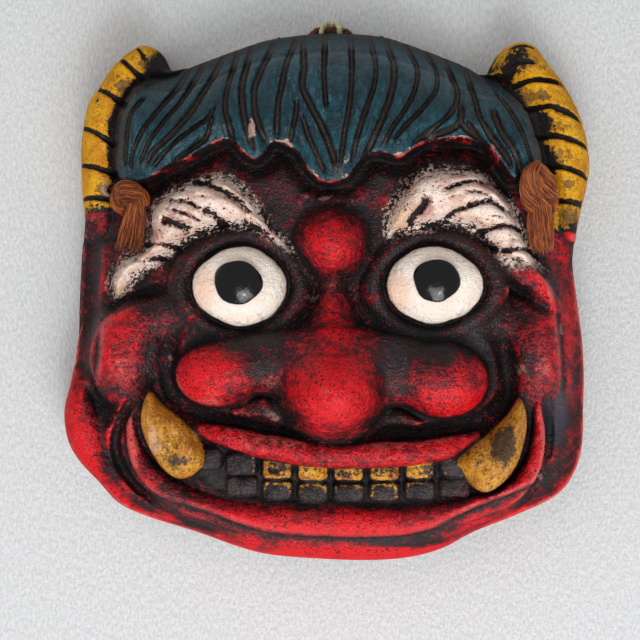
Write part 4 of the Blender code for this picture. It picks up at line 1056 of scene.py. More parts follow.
# dark grime over the sides of the hair, down in its middle point, and in smears on the horns
SOOT_SPOTS = [
    (-78, 62, 8, 24, 1.3), (-68, 80, 12, 8, 0.8), (3, 49, 5, 9, 1.1), (-22, 60, 8, 8, 0.5),
    (72, 74, 8, 12, 0.9), (77, 58, 5, 14, 0.8), (-50, 90, 20, 6, 0.5), (0, 102, 50, 6, 0.6),
    (40, 96, 20, 6, 0.5), (-78.5, 80.5, 5, 3, 1.0), (-85, 72.5, 5, 2, 0.7), (-83.5, 66, 4, 3, 0.9),
    (-88.5, 56, 4, 2.5, 0.8), (-69, 89, 7, 4, 1.0), (-86, 38, 6, 7, 0.9), (81, 76, 8, 4, 0.9),
    (85, 64, 9, 4, 0.8), (89, 53, 8, 5, 0.7), (91, 42, 7, 4, 0.9), (93, 30, 9, 7, 1.3), (77, 90, 9, 6, 0.8)]
STAINS = [
    (-56, -62, 7, 5, 1.5), (-48, -60, 4, 5, 0.7), (-60, -46, 6, 8, 0.2), (-66, -44, 4, 6, 0.3),
    (65, -56, 7, 10, 2.2), (56, -60, 6, 5, 0.6), (72, -44, 4, 5, 0.5), (58, -71, 8, 3, -0.6),
    (68, -48, 5, 9, 0.9), (60, -53, 4, 4, 0.7), (64, -60, 11, 13, 0.45)]
print("chips, soot and stains:", len(CHIPS + SOOT_SPOTS + STAINS))


# %% All the paint fields
GOLD_LEAST, GOLD_MOST = -1.5, 1.15


def gold_amount(r, hair_area):
    """Gold covers a horn up to a dark band beside the hair, and ends where the horn runs into the rim."""
    left = np.minimum((-2.4 - hair_area) * 0.5, (r.y - 32.5) * 0.3)
    right = np.minimum((-hair_area - 3.5) * 0.25, (r.y - 25.0) * 0.3)
    return np.clip(np.where(r.x < 0, left, right), GOLD_LEAST, GOLD_MOST) + spots(r, GOLD_SPOTS)


def brow_area(r):
    """Cream brows; the right one fades out before its outline ends."""
    both = np.maximum(*(r.field(outline, 9, 4) for outline in BROWS))
    return np.minimum(both, np.where(r.x > 55, (r.y - 11) * 0.8, 9))


hair_area = relief.field(HAIR, 20, 4)
horn_area = np.maximum(*(roll_area(relief, roll) for roll in HORNS))
horn_area = np.minimum(horn_area, np.where(relief.x < 0, relief.y - 31.5, relief.y - 24.0))
fields = {
    "hair": hair_area,
    "horn": horn_area,
    "brow": brow_area(relief),
    "fang": np.maximum(*(relief.field(outline, 9, 4) for outline in FANGS)),
    "mouth": relief.field(MOUTH, 9),
    "white": white, "pupil": pupil, "ring": ring,
    "valley": (relief.h - relief.softened(relief.h, 1.6)) * 1.4,
    "basin": relief.h - relief.softened(relief.h, 7.0),
    "cut": relief.cut, "edge": edge,
    "gold": gold_amount(relief, hair_area), "tooth": tooth,
    "eyelet": 1.5 - np.abs(np.hypot(relief.x - HOLES["left"][0], relief.y - HOLES["left"][1]) - 2.8),
}
for name, places in (("red", RED_SPOTS + FRINGE_SPOTS), ("pale", PALE_SHEEN_SPOTS), ("bruise", COOL_REFLECTION_SPOTS),
                     ("wear", WEAR_SPOTS), ("bright", BROW_SPOTS), ("pink", PINK_SPOTS),
                     ("peach", PEACH_SPOTS), ("chip", CHIPS), ("stain", STAINS), ("soot", SOOT_SPOTS)):
    fields[name] = spots(relief, places)
print("paint fields:", len(fields))

# %% [markdown]
# ## The shell
# A square grid is drawn onto the outline, evened out, and lifted to the relief.  The hollow's ceiling is the
# same relief moved in by the wall, as a ball rolling inside would trace it.  A flat rim joins the two, then
# the shell is thinned where it is smooth, and the two cord holes are drilled.  A plain square board under a
# height map would leave a stepped rim; a grid that ends on the outline keeps the rim clean.


# %% A grid that ends on the outline
EVENING_ROUNDS = 60


def square_on_outline(outline, cells):
    """A square grid of points over the area inside an outline, as even as its shape allows."""
    lengths = np.hypot(*(np.roll(outline, -1, axis=0) - outline).T)
    along = np.concatenate([[0], np.cumsum(lengths)]) / lengths.sum()
    loop = np.vstack([outline, outline[:1]])
    turn = np.arctan2(loop[:, 1], loop[:, 0])
    start = along[np.argmin(np.abs(turn + math.pi * 0.75))]
    t = (start + np.arange(4 * cells) / (4 * cells)) % 1
    border = np.column_stack([np.interp(t, along, loop[:, c]) for c in (0, 1)])
    grid = np.zeros((cells + 1, cells + 1, 2))
    grid[0, :] = border[:cells + 1]
    grid[:, -1] = border[cells:2 * cells + 1]
    grid[-1, ::-1] = border[2 * cells:3 * cells + 1]
    grid[::-1, 0] = np.vstack([border[3 * cells:], border[:1]])
    s = np.linspace(0, 1, cells + 1)
    a, b = s[:, None, None], s[None, :, None]
    corners = ((1 - a) * (1 - b) * grid[0, 0] + (1 - a) * b * grid[0, -1]
               + a * (1 - b) * grid[-1, 0] + a * b * grid[-1, -1])
    full = (1 - a) * grid[:1, :] + a * grid[-1:, :] + (1 - b) * grid[:, :1] + b * grid[:, -1:] - corners
    for _ in range(EVENING_ROUNDS):
        full[1:-1, 1:-1] = (full[:-2, 1:-1] + full[2:, 1:-1] + full[1:-1, :-2] + full[1:-1, 2:]) / 4
    return full


# %% Borders and faces of a grid
def border_loop(cells):
    """Indices of a grid's border, in order round it."""
    k = np.arange(cells)
    side = cells + 1
    return np.concatenate([k, cells + k * side, cells * side + cells - k, (cells - k) * side])


def grid_quads(cells, first, up):
    i, j = np.meshgrid(np.arange(cells), np.arange(cells), indexing="ij")
    a = (first + i * (cells + 1) + j).ravel()
    quads = np.column_stack([a, a + cells + 1, a + cells + 2, a + 1])
    return quads if up else quads[:, ::-1]


def rim_faces(outer, inner, ratio):
    """Triangles between two loops, the outer one with that many more points."""
    faces = []
    half = ratio // 2
    for k in range(len(inner)):
        here, there = int(inner[k]), int(inner[(k + 1) % len(inner)])
        run = [int(outer[(k * ratio + m) % len(outer)]) for m in range(ratio + 1)]
        faces += [(run[m + 1], here, run[m]) for m in range(half)]
        faces.append((there, here, run[half]))
        faces += [(run[m + 1], there, run[m]) for m in range(half, ratio)]
    return faces


# %% The hollow
HOLLOW_STEP = 2.0


def inner_face(r, edge):
    """The hollow's ceiling: the front moved in by the wall, as a ball of that radius would trace it."""
    coarse = Raster(r.half, HOLLOW_STEP)
    h = r.read(np.where(edge > 0, r.h, 0), coarse.x, coarse.y)
    reach = int(WALL / coarse.step)
    ceiling = np.full_like(h, 99.0)
    for i in range(-reach, reach + 1):
        for j in range(-reach, reach + 1):
            away = WALL ** 2 - (i * i + j * j) * coarse.step ** 2
            if away >= 0:
                ceiling = np.minimum(ceiling, np.roll(h, (i, j), (0, 1)) - math.sqrt(away))
    return coarse, coarse.softened(ceiling, 2.0)


def arch(points):
    """How high the rim is lifted at the top, for the cord."""
    width = ease((ARCH_HALF - np.abs(points[:, 0] - LOOP_CENTRE[0])) / 5)
    return ARCH_RISE * width * (points[:, 1] > 60)


coarse, ceiling = inner_face(relief, edge)
print("highest place in the hollow (mm):", round(float(ceiling.max()), 1))

# %% Build the shell
CEILING_LEAST = 4.0
RIM_SMOOTHING = 12      # rounds that take the kinks out of the rim's inner border


def inset_outline(outline):
    """The outline moved in by the width of the rim."""
    tangent = np.roll(outline, -1, axis=0) - np.roll(outline, 1, axis=0)
    inward = np.column_stack([tangent[:, 1], -tangent[:, 0]]) / np.hypot(*tangent.T)[:, None]
    inset = outline + inward * RIM_WIDTH
    for _ in range(RIM_SMOOTHING):
        inset = (np.roll(inset, 1, axis=0) + inset + np.roll(inset, -1, axis=0)) / 3
    return inset


def shell(r, coarse, ceiling, outline, front_cells, back_cells):
    """Points and faces of the front, the hollow, and the rim that joins them."""
    front = square_on_outline(outline, front_cells).reshape(-1, 2)
    back = square_on_outline(inset_outline(outline), back_cells).reshape(-1, 2)
    outer, inner = border_loop(front_cells), border_loop(back_cells)
    z_front = np.maximum(r.read(r.h, *front.T), 0)
    z_front[outer] = 0
    z_front = np.maximum(z_front, arch(front))
    z_back = np.maximum(coarse.read(ceiling, *back.T), CEILING_LEAST)
    z_back[inner] = arch(back[inner])
    points = np.vstack([np.column_stack([front, z_front]), np.column_stack([back, z_back])])
    first = len(front)
    faces = np.vstack([grid_quads(front_cells, 0, True), grid_quads(back_cells, first, False)]).tolist()
    return points, faces + rim_faces(outer, inner + first, front_cells // back_cells)


outline = smooth_curve(RIM, True, 8)
SHIFT = -(outline.min(axis=0) + outline.max(axis=0)) / 2
FRONT_CELLS, BACK_CELLS, MASK_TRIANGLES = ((416, 104, 190000))
points, faces = shell(relief, coarse, ceiling, outline, FRONT_CELLS, BACK_CELLS)
points[:, :2] += SHIFT
print("shell:", len(points), "points; moved by (mm):", [round(float(s), 2) for s in SHIFT])


# %% Plain meshes
def evaluated_mesh(obj):
    """The object's mesh with its modifiers applied; the object itself is removed."""
    mesh = bpy.data.meshes.new_from_object(obj.evaluated_get(bpy.context.evaluated_depsgraph_get()))
    bpy.data.objects.remove(obj)
    return mesh


def place_object(name, mesh):
    obj = bpy.data.objects.new(name, mesh)
    bpy.context.scene.collection.objects.link(obj)
    return obj


# %% Drill and thin the shell
DRILL_LENGTH, DRILL_MIDDLE, DRILL_SIDES = 0.16, 0.07, 40

mesh = bpy.data.meshes.new("oni mask")
mesh.from_pydata(points * MM, [], faces)
mesh.update()
solid = place_object("oni_mask", mesh)
drills = []
for name, (x, y) in HOLES.items():
    bpy.ops.mesh.primitive_cylinder_add(vertices=DRILL_SIDES, radius=HOLE_RADIUS * MM, depth=DRILL_LENGTH,
                                        location=((x + SHIFT[0]) * MM, (y + SHIFT[1]) * MM, DRILL_MIDDLE))
    drill = bpy.context.object
    drill.hide_render = True
    drills.append(drill)
    bore = solid.modifiers.new(name + " hole", 'BOOLEAN')
    bore.object = drill
    bore.operation = 'DIFFERENCE'
    bore.solver = 'MANIFOLD'
thin = solid.modifiers.new("thin", 'DECIMATE')
thin.ratio = min(1.0, MASK_TRIANGLES / (2 * FRONT_CELLS ** 2 + 2 * BACK_CELLS ** 2))
mesh = evaluated_mesh(solid)
for drill in drills:
    bpy.data.objects.remove(drill)
mesh.shade_smooth()
mask = place_object("oni_mask", mesh)
print("mask faces:", len(mesh.polygons))

# %% Hand the paint fields to the mesh
INSIDE_MARGIN = 0.3     # how far below the middle of the wall a point counts as inside


def hand_over(name, values):
    mesh.attributes.new(name, 'FLOAT', 'POINT').data.foreach_set("value", values)


place = np.zeros(len(mesh.vertices) * 3)
mesh.vertices.foreach_get("co", place)
place = place.reshape(-1, 3) / MM
x, y, z = place[:, 0] - SHIFT[0], place[:, 1] - SHIFT[1], place[:, 2]
for name, grid in fields.items():
    hand_over(name, relief.read(grid, x, y))
wall_middle = (relief.read(relief.h, x, y) + np.maximum(coarse.read(ceiling, x, y), 0)) / 2
hand_over("inside", (z < wall_middle - INSIDE_MARGIN).astype(float))
print("attributes on the mask:", len(fields) + 1)

# %% [markdown]
# ## The painted ceramic
# The clay was first coated in brown-black.  Red was then dragged over it with a nearly dry brush, so it
# caught the high places and left pits and valleys dark.  The shader does the same: it adds up height,
# listed amounts and noise of several sizes, and a soft threshold decides where the red sits.  Teal,
# gold, cream and ochre follow in their own outlines.

# %% Patterns of the brush
paint = Finish("painted ceramic")
PATTERNS = {
    "blotch": paint.noise(0.028, 4.0, 0.6),
    "patch": paint.noise(0.0085, 5.0, 0.65),
    "grain": paint.noise(0.0026, 4.0, 0.62),
    "fine": paint.noise(0.0014, 3.0, 0.75),
    "speck": paint.noise(0.0009, 2.0, 0.5),
    "streak": paint.noise(0.0040, 4.0, 0.6, place=paint.stretched((0.30, 1.5, 1.0), 0.12)),
    "scratch": paint.noise(0.0013, 3.0, 0.7, place=paint.stretched((0.25, 1.0, 1.0), 0.7)),
}
blotch, patch, grain, fine, speck, streak, scratch = PATTERNS.values()
valley, basin, cut, rim = (paint.field(name) for name in ("valley", "basin", "cut", "edge"))


def brushwork(**amounts):
    """Patterns that swing about 0, each by its own amount, added up."""
    swings = [PATTERNS[name].swing(amount) for name, amount in amounts.items()]
    return sum(swings[1:], swings[0])


ragged = brushwork(patch=3.0, grain=1.6)     # shifts a colour's border by a millimetre or so


def tell_nodes(coat):
    print(coat, "- nodes so far:", len(paint.tree.nodes))


tell_nodes("brush patterns")

# %% [markdown]
# ### Undercoat and red
# The undercoat is two near-blacks, with a cool bluish tint in places that is a painted reflection, and
# painted shade, near pure black, in the deepest places.  `cover` says how much red the brush left; it is
# also lowered as a painted shadow just under the fringe and as painted shade at the very rim.  Three shades
# follow it, from a dark stain to a full bright coat, as thin paint would.

# %% Undercoat
WARM_BLACK, COOL_BLACK, COOL_REFLECTION, PAINTED_SHADE_BLACK = srgb(31, 18, 17), srgb(38, 32, 35), srgb(52, 50, 62), srgb(5, 3, 4)

under = paint.mix(blotch.step(0.44, 0.60), WARM_BLACK, COOL_BLACK)
# painted reflection: a cool bluish tint laid on the black undercoat in places
under = paint.mix((paint.field("bruise") + brushwork(patch=1.4, grain=1.0)).step(0.1, 0.9), under, COOL_REFLECTION)
under = paint.mix(basin.step(-0.4, -2.6) * 0.8, under, PAINTED_SHADE_BLACK)     # painted shade: near pure black in the deepest places
tell_nodes("undercoat")

# %% Red
DARK_RED, MID_RED, BRIGHT_RED = srgb(72, 14, 20), srgb(140, 18, 28), srgb(218, 14, 26)

dry = brushwork(patch=1.9, streak=1.1, grain=1.3, fine=1.4, scratch=0.9, blotch=1.6)
below_fringe = paint.field("hair").step(-4.0, -1.0)
# just under the fringe the red is mostly taken away, a painted shadow of the overhanging hair, with a few
# dabs of red left in it
fringe_shadow_and_red = below_fringe * (brushwork(patch=10.0, blotch=6.0) - 1.1)
# the last term takes red away at the very rim: painted shade along the silhouette
cover = (valley * 0.26 + basin * 0.055 + paint.field("red") * 0.5 - cut * 0.08 + 0.48 + dry + fringe_shadow_and_red
         - rim.step(2.4, 0.4) * 0.6)
colour = paint.mix(cover.step(0.10, 0.50), under, DARK_RED)
colour = paint.mix(cover.step(0.40, 0.80), colour, MID_RED)
colour = paint.mix(cover.step(0.78, 1.30), colour, BRIGHT_RED)
tell_nodes("red")

# %% [markdown]
# ### Rubbing, pits and wear
# Handling rubbed the high places paler, and a painted highlight of pale pink lies on them as well.  Pits in
# the clay stayed dark, flecks of red fell on the dark places, and at a few spots the paint is worn through to
# the clay.

# %% Rubbed highlights, pits and wear
RUBBED_SHEEN, PIT, FLECK = srgb(226, 112, 104), srgb(16, 10, 12), srgb(150, 22, 34)
WORN_DARK, WORN_PALE = srgb(88, 62, 58), srgb(160, 112, 100)

# painted highlight, partly rubbing: pale pink on the crests of the red and at the pale spots
rubbed_sheen = valley * 0.6 + brushwork(grain=2.4, speck=2.6, patch=2.0) + paint.field("pale") * 1.1
colour = paint.mix(rubbed_sheen.step(0.9, 1.7) * cover.step(0.3, 0.8) * 0.5, colour, RUBBED_SHEEN)
pit = speck * 0.6 + fine * 0.6 - valley * 0.03 + brushwork(patch=0.35, blotch=0.2)
colour = paint.mix(pit.step(0.665, 0.725) * 0.92, colour, PIT)
fleck = (fine * 0.7 + speck * 0.5 + patch.swing(0.5)).step(0.68, 0.74)
fleck = fleck * cover.step(-1.2, -0.2) * cover.step(0.6, 0.1)
colour = paint.mix(fleck * 0.8, colour, FLECK)
wear = (paint.field("wear") * 1.2 + brushwork(grain=2.0, fine=1.6)).step(0.35, 0.9)
colour = paint.mix(wear * 0.85, colour, paint.mix(grain, WORN_DARK, WORN_PALE))
tell_nodes("wear")

# %% [markdown]
# ### Teal hair
# The teal is brushed along the locks, so its patterns are drawn out lengthways.  Then come, in order: fine
# dark comb lines, a painted highlight as a pale sheen on the crests, soot at the sides, black run into the
# cuts with dust on their floors, a dark band by the rim that is painted shade, and chips that show the clay.

# %% Teal along the locks
DEEP_TEAL, TEAL, COMBED, TEAL_SHEEN = srgb(16, 46, 54), srgb(26, 76, 88), srgb(20, 26, 32), srgb(96, 142, 158)

locks = paint.noise(0.0030, 4.0, 0.6, place=paint.stretched((1.6, 0.22, 1.0)))
teal = paint.mix((patch * 0.6 + locks * 0.4).step(0.40, 0.62), DEEP_TEAL, TEAL)
comb = paint.noise(0.0011, 3.0, 0.7, place=paint.stretched((1.0, 0.16, 1.0)))
teal = paint.mix((comb + patch.swing(0.4)).step(0.54, 0.66) * 0.55, teal, COMBED)
# painted highlight: a pale teal sheen along the crests of the locks
crest_sheen = valley * 0.6 + locks.swing(2.4) + comb.swing(5.0) + blotch.swing(3.0) + paint.field("pale")
teal = paint.mix(crest_sheen.step(1.15, 2.4) * 0.45, teal, TEAL_SHEEN)
tell_nodes("teal")

# %% Soot, cuts and chips in the hair
SOOT, CUT_BLACK, CUT_BROWN = srgb(36, 33, 35), srgb(18, 15, 16), srgb(40, 33, 32)
CUT_DUST, RIM_SHADE, BARE_CLAY = srgb(74, 62, 54), srgb(34, 30, 30), srgb(196, 158, 146)

soot = paint.field("soot") + brushwork(blotch=3.0, patch=1.6) + comb.swing(1.5)
teal = paint.mix(soot.step(0.1, 1.0) * 0.75, teal, SOOT)
blackened = cut * 1.1 + fine.swing(2.2) - valley * 0.2 + blotch.swing(1.2)
teal = paint.mix(blackened.step(0.45, 1.0), teal, paint.mix(grain.step(0.4, 0.6), CUT_BLACK, CUT_BROWN))
teal = paint.mix((cut + brushwork(grain=1.2, patch=1.0)).step(1.15, 1.7) * 0.5, teal, CUT_DUST)
# painted shade: the teal darkens towards the rim, where the hair turns away from the light
rim_shade_band = (11.0 - rim) * 0.11 + brushwork(patch=1.5, grain=0.8)
teal = paint.mix(rim_shade_band.step(0.2, 0.9) * 0.9, teal, RIM_SHADE)
chips = paint.field("chip") + brushwork(patch=1.6, grain=2.6) + valley * 0.12
teal = paint.mix(chips.step(0.75, 0.95), teal, BARE_CLAY)
hair_amount = (paint.field("hair") + ragged * 0.6 + fine.swing(2.0)).step(-0.3, 0.5)
colour = paint.mix(hair_amount, colour, teal)
tell_nodes("hair")

# %% [markdown]
# ### Golden horns and the left eyelet
# Gold was dabbed on the horns over the black, so it has two shades, brown pores and dark smears, and it
# misses the rings.  Round the left cord hole the clay was rubbed bare.

# %% Golden horns
GOLD_DARK, GOLD, GOLD_PORE = srgb(204, 132, 14), srgb(240, 178, 22), srgb(120, 72, 14)
SMEAR_DARK, SMEAR_BROWN, HORN_BLACK = srgb(58, 44, 36), srgb(132, 92, 44), srgb(33, 27, 27)

gold = paint.mix(patch.step(0.35, 0.65), GOLD_DARK, GOLD)
gold = paint.mix((speck + grain * 0.5).step(0.84, 0.98) * 0.4, gold, GOLD_PORE)
smear = paint.field("soot") + brushwork(patch=3.4, grain=3.0, fine=2.0) - 0.35
smeared = paint.mix(grain.step(0.42, 0.58), SMEAR_DARK, SMEAR_BROWN)
gold = paint.mix(smear.step(0.10, 0.60) * 0.85, gold, smeared)
gilt = paint.field("gold") + valley * 0.30 + brushwork(patch=2.4, grain=2.2, fine=2.8, speck=1.4) - cut * 0.8
horn_paint = paint.mix(gilt.step(0.05, 0.40), HORN_BLACK, gold)
horn_amount = (paint.field("horn") + ragged * 0.6).step(-0.5, 0.5)
colour = paint.mix(horn_amount, colour, horn_paint)
tell_nodes("gold")

# %% Bare clay round the left eyelet
EYELET_DARK, EYELET_PALE = srgb(104, 76, 70), srgb(170, 138, 128)

eyelet = (paint.field("eyelet") * 0.5 + brushwork(patch=1.2, grain=1.6)).step(0.40, 0.75)
colour = paint.mix(eyelet * 0.9, colour, paint.mix(grain.step(0.4, 0.6), EYELET_DARK, EYELET_PALE))
tell_nodes("eyelet")

# %% [markdown]
# ### Cream brows
# The cream is two shades with peach and pink let into it.  It was brushed across the carved hairs and worn,
# so `worn` lets the dark through in pits and cuts, and ragged borders fade into the forehead.

# %% Cream brows
CREAM_SHADE, CREAM, PEACH = srgb(222, 180, 160), srgb(250, 228, 212), srgb(232, 184, 134)
BROW_PINK, BROW_DARK = srgb(164, 70, 80), srgb(50, 36, 37)

cream = paint.mix(patch.step(0.34, 0.62), CREAM_SHADE, CREAM)
cream = paint.mix((paint.field("peach") + patch.swing(1.6)).step(0.3, 1.0) * 0.6, cream, PEACH)
pink = (paint.field("pink") * 0.5 + brushwork(patch=1.2, grain=1.4, blotch=0.6)).step(0.12, 0.40)
cream = paint.mix(pink * 0.65, cream, BROW_PINK)
hairs = paint.noise(0.0022, 4.0, 0.65, place=paint.stretched((0.45, 1.7, 1.0), 0.2))
worn = (valley * 0.5 + hairs.swing(2.4) + brushwork(grain=1.6, fine=4.4, patch=1.2, speck=2.4)
        + paint.field("bright") * 0.5 - cut * 0.30 + 0.16)
brow_paint = paint.mix(worn.step(-0.30, 0.10), BROW_DARK, cream)
brow_amount = (paint.field("brow") * 0.35 + ragged * 0.5 + fine.swing(3.0)).step(-0.6, 0.8)
colour = paint.mix(brow_amount * worn.step(-0.7, -0.2), colour, brow_paint)
tell_nodes("brows")

# %% [markdown]
# ### Eyes
# Off-white balls with a peach blush and a faint dirty ring near the lid, then flat black pupils.  Their
# borders waver only slowly, because they were painted carefully.

# %% Eyes
IVORY_SHADE, IVORY, BLUSH = srgb(244, 226, 210), srgb(252, 242, 230), srgb(250, 204, 176)
LID_DIRT, PUPIL_BLACK = srgb(176, 146, 128), srgb(8, 8, 10)

ivory = paint.mix(patch.step(0.3, 0.7), IVORY_SHADE, IVORY)
ivory = paint.mix((paint.field("peach") + patch.swing(1.2)).step(0.2, 1.0) * 0.75, ivory, BLUSH)
dirt = paint.field("ring") * 0.5 + brushwork(patch=0.5, grain=0.6, fine=0.6)
ivory = paint.mix(dirt.step(0.44, 0.64) * 0.6, ivory, LID_DIRT)
white_amount = (paint.field("white") + ragged * 0.35 + blotch.swing(3.6)).step(0.05, 0.6)
colour = paint.mix(white_amount, colour, ivory)
pupil_amount = (paint.field("pupil") + ragged * 0.16 + blotch.swing(1.8)).step(-0.15, 0.2)
colour = paint.mix(pupil_amount, colour, PUPIL_BLACK)
tell_nodes("eyes")

# %% [markdown]
# ### Fangs and teeth
# The fangs are ochre with brown fibres, pale places that are partly rubbed and partly painted highlight, and
# one dark stain each.  In the mouth the same yellow only caught the faces of the upper teeth and the edges of
# the lower ones; between them the undercoat shows.

# %% Fangs
OCHRE_SHADE, OCHRE, OCHRE_FIBRE = srgb(172, 106, 34), srgb(226, 160, 48), srgb(84, 52, 24)
OCHRE_GLOW, OCHRE_RUBBED_SHEEN, FANG_STAIN = srgb(236, 186, 96), srgb(236, 186, 150), srgb(40, 30, 27)

ochre = paint.mix(patch.step(0.36, 0.66), OCHRE_SHADE, OCHRE)
fibre = paint.noise(0.0013, 4.0, 0.7, place=paint.stretched((1.0, 0.35, 1.0), 0.5))
fibres = fibre * 0.7 + fine * 0.5 - 0.1 + patch.swing(0.6)
ochre = paint.mix(fibres.step(0.50, 0.66) * 0.8, ochre, OCHRE_FIBRE)
ochre = paint.mix((fibre + patch.swing(0.6) + valley * 0.1).step(0.48, 0.36) * 0.5, ochre, OCHRE_GLOW)
# pale on the fangs at the pale spots: partly rubbing, partly painted highlight
rubbed_sheen = paint.field("pale") + brushwork(patch=2.0, grain=1.0)
ochre = paint.mix(rubbed_sheen.step(0.3, 0.9) * 0.6, ochre, OCHRE_RUBBED_SHEEN)
stain = paint.field("stain") * 0.9 + brushwork(patch=2.0, grain=1.6, fine=3.0) - valley * 0.4
ochre = paint.mix(stain.step(0.10, 1.30) * 0.9, ochre, FANG_STAIN)
fang_amount = (paint.field("fang") + ragged * 0.5 + fine.swing(1.6)).step(-0.1, 0.7)
colour = paint.mix(fang_amount, colour, ochre)
tell_nodes("fangs")

# %% Teeth
ENAMEL_BROWN, ENAMEL_YELLOW = srgb(142, 70, 24), srgb(230, 166, 40)
MOUTH_BLACK, MOUTH_GREY = srgb(30, 24, 26), srgb(58, 48, 48)

tooth = (paint.field("tooth") + brushwork(patch=1.8, grain=2.0, fine=2.4)).step(0.20, 0.70)
enamel = paint.mix((patch * 0.5 + fine * 0.5).step(0.38, 0.64), ENAMEL_BROWN, ENAMEL_YELLOW)
hollow = paint.mix(patch.step(0.4, 0.6), MOUTH_BLACK, MOUTH_GREY)
mouth_paint = paint.mix(tooth * 0.95, hollow, enamel)
mouth_amount = (paint.field("mouth") + ragged * 0.3 + fine.swing(1.2)).step(-0.2, 0.4)
colour = paint.mix(mouth_amount * (1 - fang_amount), colour, mouth_paint)
tell_nodes("teeth")

# %% [markdown]
# ### Pores, and the clay inside
# Grime sits in the finest pores everywhere but on the clean whites of the eyes.  Nobody paints the inside of
# a mask, so the hollow stays bare fired clay with a few darker blotches.

# %% Pores and bare clay
PORE_GRIME = srgb(14, 10, 12)
CLAY_SHADE, CLAY, CLAY_BLOTCH = srgb(178, 132, 94), srgb(206, 164, 124), srgb(120, 80, 56)

pore = speck * 0.7 + scratch * 0.3
colour = paint.mix(pore.step(0.52, 0.66) * (0.34 - white_amount * 0.32), colour, PORE_GRIME)
clay = paint.mix(patch, CLAY_SHADE, CLAY)
clay = paint.mix(brushwork(blotch=1.0, speck=0.8).step(0.08, 0.2) * 0.5, clay, CLAY_BLOTCH)
inside = (paint.field("inside") + patch.swing(0.4)).step(0.35, 0.65)
colour = paint.mix(inside, colour, clay)
tell_nodes("bare clay")

# %% [markdown]
# ### Gloss and grain
# The face has a low sheen that handling left, duller towards the rim, in hollows and on the cream.  The
# pupils were flooded with gloss paint: they are smooth, and a thin coat on them carries the glint.  Three
# sizes of bump give the rest its grain, because brush marks this fine would need millions of faces.

# %% Gloss
SHEEN_BASE, PUPIL_GLOSS, CLAY_DULL = 0.25, 0.1, 0.9

gloss = (SHEEN_BASE + rim.step(14.0, 4.0) * 0.75 + basin.step(0.0, -3.0) * 0.35
         + brushwork(grain=0.5, patch=0.3) + hair_amount * 0.04 + brow_amount * 0.2 + white_amount * 0.1)
gloss = gloss * (1 - pupil_amount) + pupil_amount * PUPIL_GLOSS
gloss = gloss * (1 - inside) + inside * CLAY_DULL
lacquer = hair_amount * (0.12 - inside * 0.12) + pupil_amount * 0.3
tell_nodes("gloss")

# %% Grain, and the whole finish
rough = 1 - pupil_amount * 0.8      # little of the grain shows through the pupils' gloss paint
pits = paint.bump((patch - 0.5) * rough, 0.0012, 0.4)
pits = paint.bump((grain + streak * 0.5 + scratch * 0.5 - 1.0) * rough, 0.0010, 0.6, under=pits)
pits = paint.bump((speck + fine - 1.0) * rough, 0.0007, 0.7, under=pits)
paint.set(Base_Color=colour, Roughness=gloss, Normal=pits, Specular_IOR_Level=0.3, Coat_Weight=lacquer,
          Coat_Roughness=0.07)
mesh.materials.clear()
mesh.materials.append(paint.material)
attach(mask, "root")
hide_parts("mask")
tell_nodes("painted ceramic")

# %% [markdown]
# ## Knots and tassels
# A loose brown fibre comes out of each temple hole, is knotted, and ends in a short tassel.  Each bundle
# follows a few strands: middle lines that carry their own half width and half thickness.  Geometry Nodes copy
# a strand many times, spread the copies inside the flattened bundle, wave them a little, trim their ends
# unevenly, and give each a thin profile.  The same tree with other sizes makes the core, whose darker brown
# is painted shade, the cord and the loop.


# %% A node tree in a few words
class Tree:
    """A Geometry Nodes tree with named inputs, and a plain way to add nodes."""

    def __init__(self, name, inputs):
        self.tree = bpy.data.node_groups.new(name, 'GeometryNodeTree')
        self.tree.interface.new_socket("Geometry", in_out='INPUT', socket_type='NodeSocketGeometry')
        self.names = {}
        for label, kind, value in inputs:
            socket = self.tree.interface.new_socket(label, in_out='INPUT', socket_type=kind)
            if value is not None:
                socket.default_value = value
            self.names[label] = socket.identifier
        self.tree.interface.new_socket("Geometry", in_out='OUTPUT', socket_type='NodeSocketGeometry')
        self.entry = self.tree.nodes.new('NodeGroupInput')

    def __getitem__(self, label):
        return self.entry.outputs[label]

    def node(self, kind, settings=None, inputs=None, out=0):
        made = self.tree.nodes.new(kind)
        for key, value in (settings or {}).items():
            setattr(made, key, value)
        for key, value in (inputs or {}).items():
            if isinstance(value, bpy.types.NodeSocket):
                self.tree.links.new(value, made.inputs[key])
            else:
                made.inputs[key].default_value = value
        return made.outputs[out]

    def math(self, operation, a, b=0.0):
        return self.node('ShaderNodeMath', {'operation': operation}, {0: a, 1: b})

    def vector(self, operation, a, b, key=1):
        return self.node('ShaderNodeVectorMath', {'operation': operation}, {0: a, key: b})

    def between(self, share, a, b):
        return self.node('ShaderNodeMix', {'data_type': 'FLOAT'}, {0: share, 2: a, 3: b})

    def random(self, low, high, seed, index):
        return self.node('FunctionNodeRandomValue', {'data_type': 'FLOAT'},
                         {2: low, 3: high, 'Seed': seed, 'ID': index}, out=1)

    def stored(self, name):
        return self.node('GeometryNodeInputNamedAttribute', {'data_type': 'FLOAT'}, {'Name': name})

    def finish(self, geometry):
        real = self.node('GeometryNodeRealizeInstances', {}, {0: geometry})
        painted = self.node('GeometryNodeSetMaterial', {}, {0: real, 'Material': self["Material"]})
        self.tree.links.new(painted, self.tree.nodes.new('NodeGroupOutput').inputs[0])
        return self


# %% [markdown]
# ### One tree for every bundle
# Every fibre is a copy of its strand, moved sideways inside an oval.  In a loose bundle its place in the oval
# is random; in an ordered one, such as a cord laid from plies, the fibres stand evenly on a ring.  Either way
# the place can turn as it goes along, which twists the bundle.

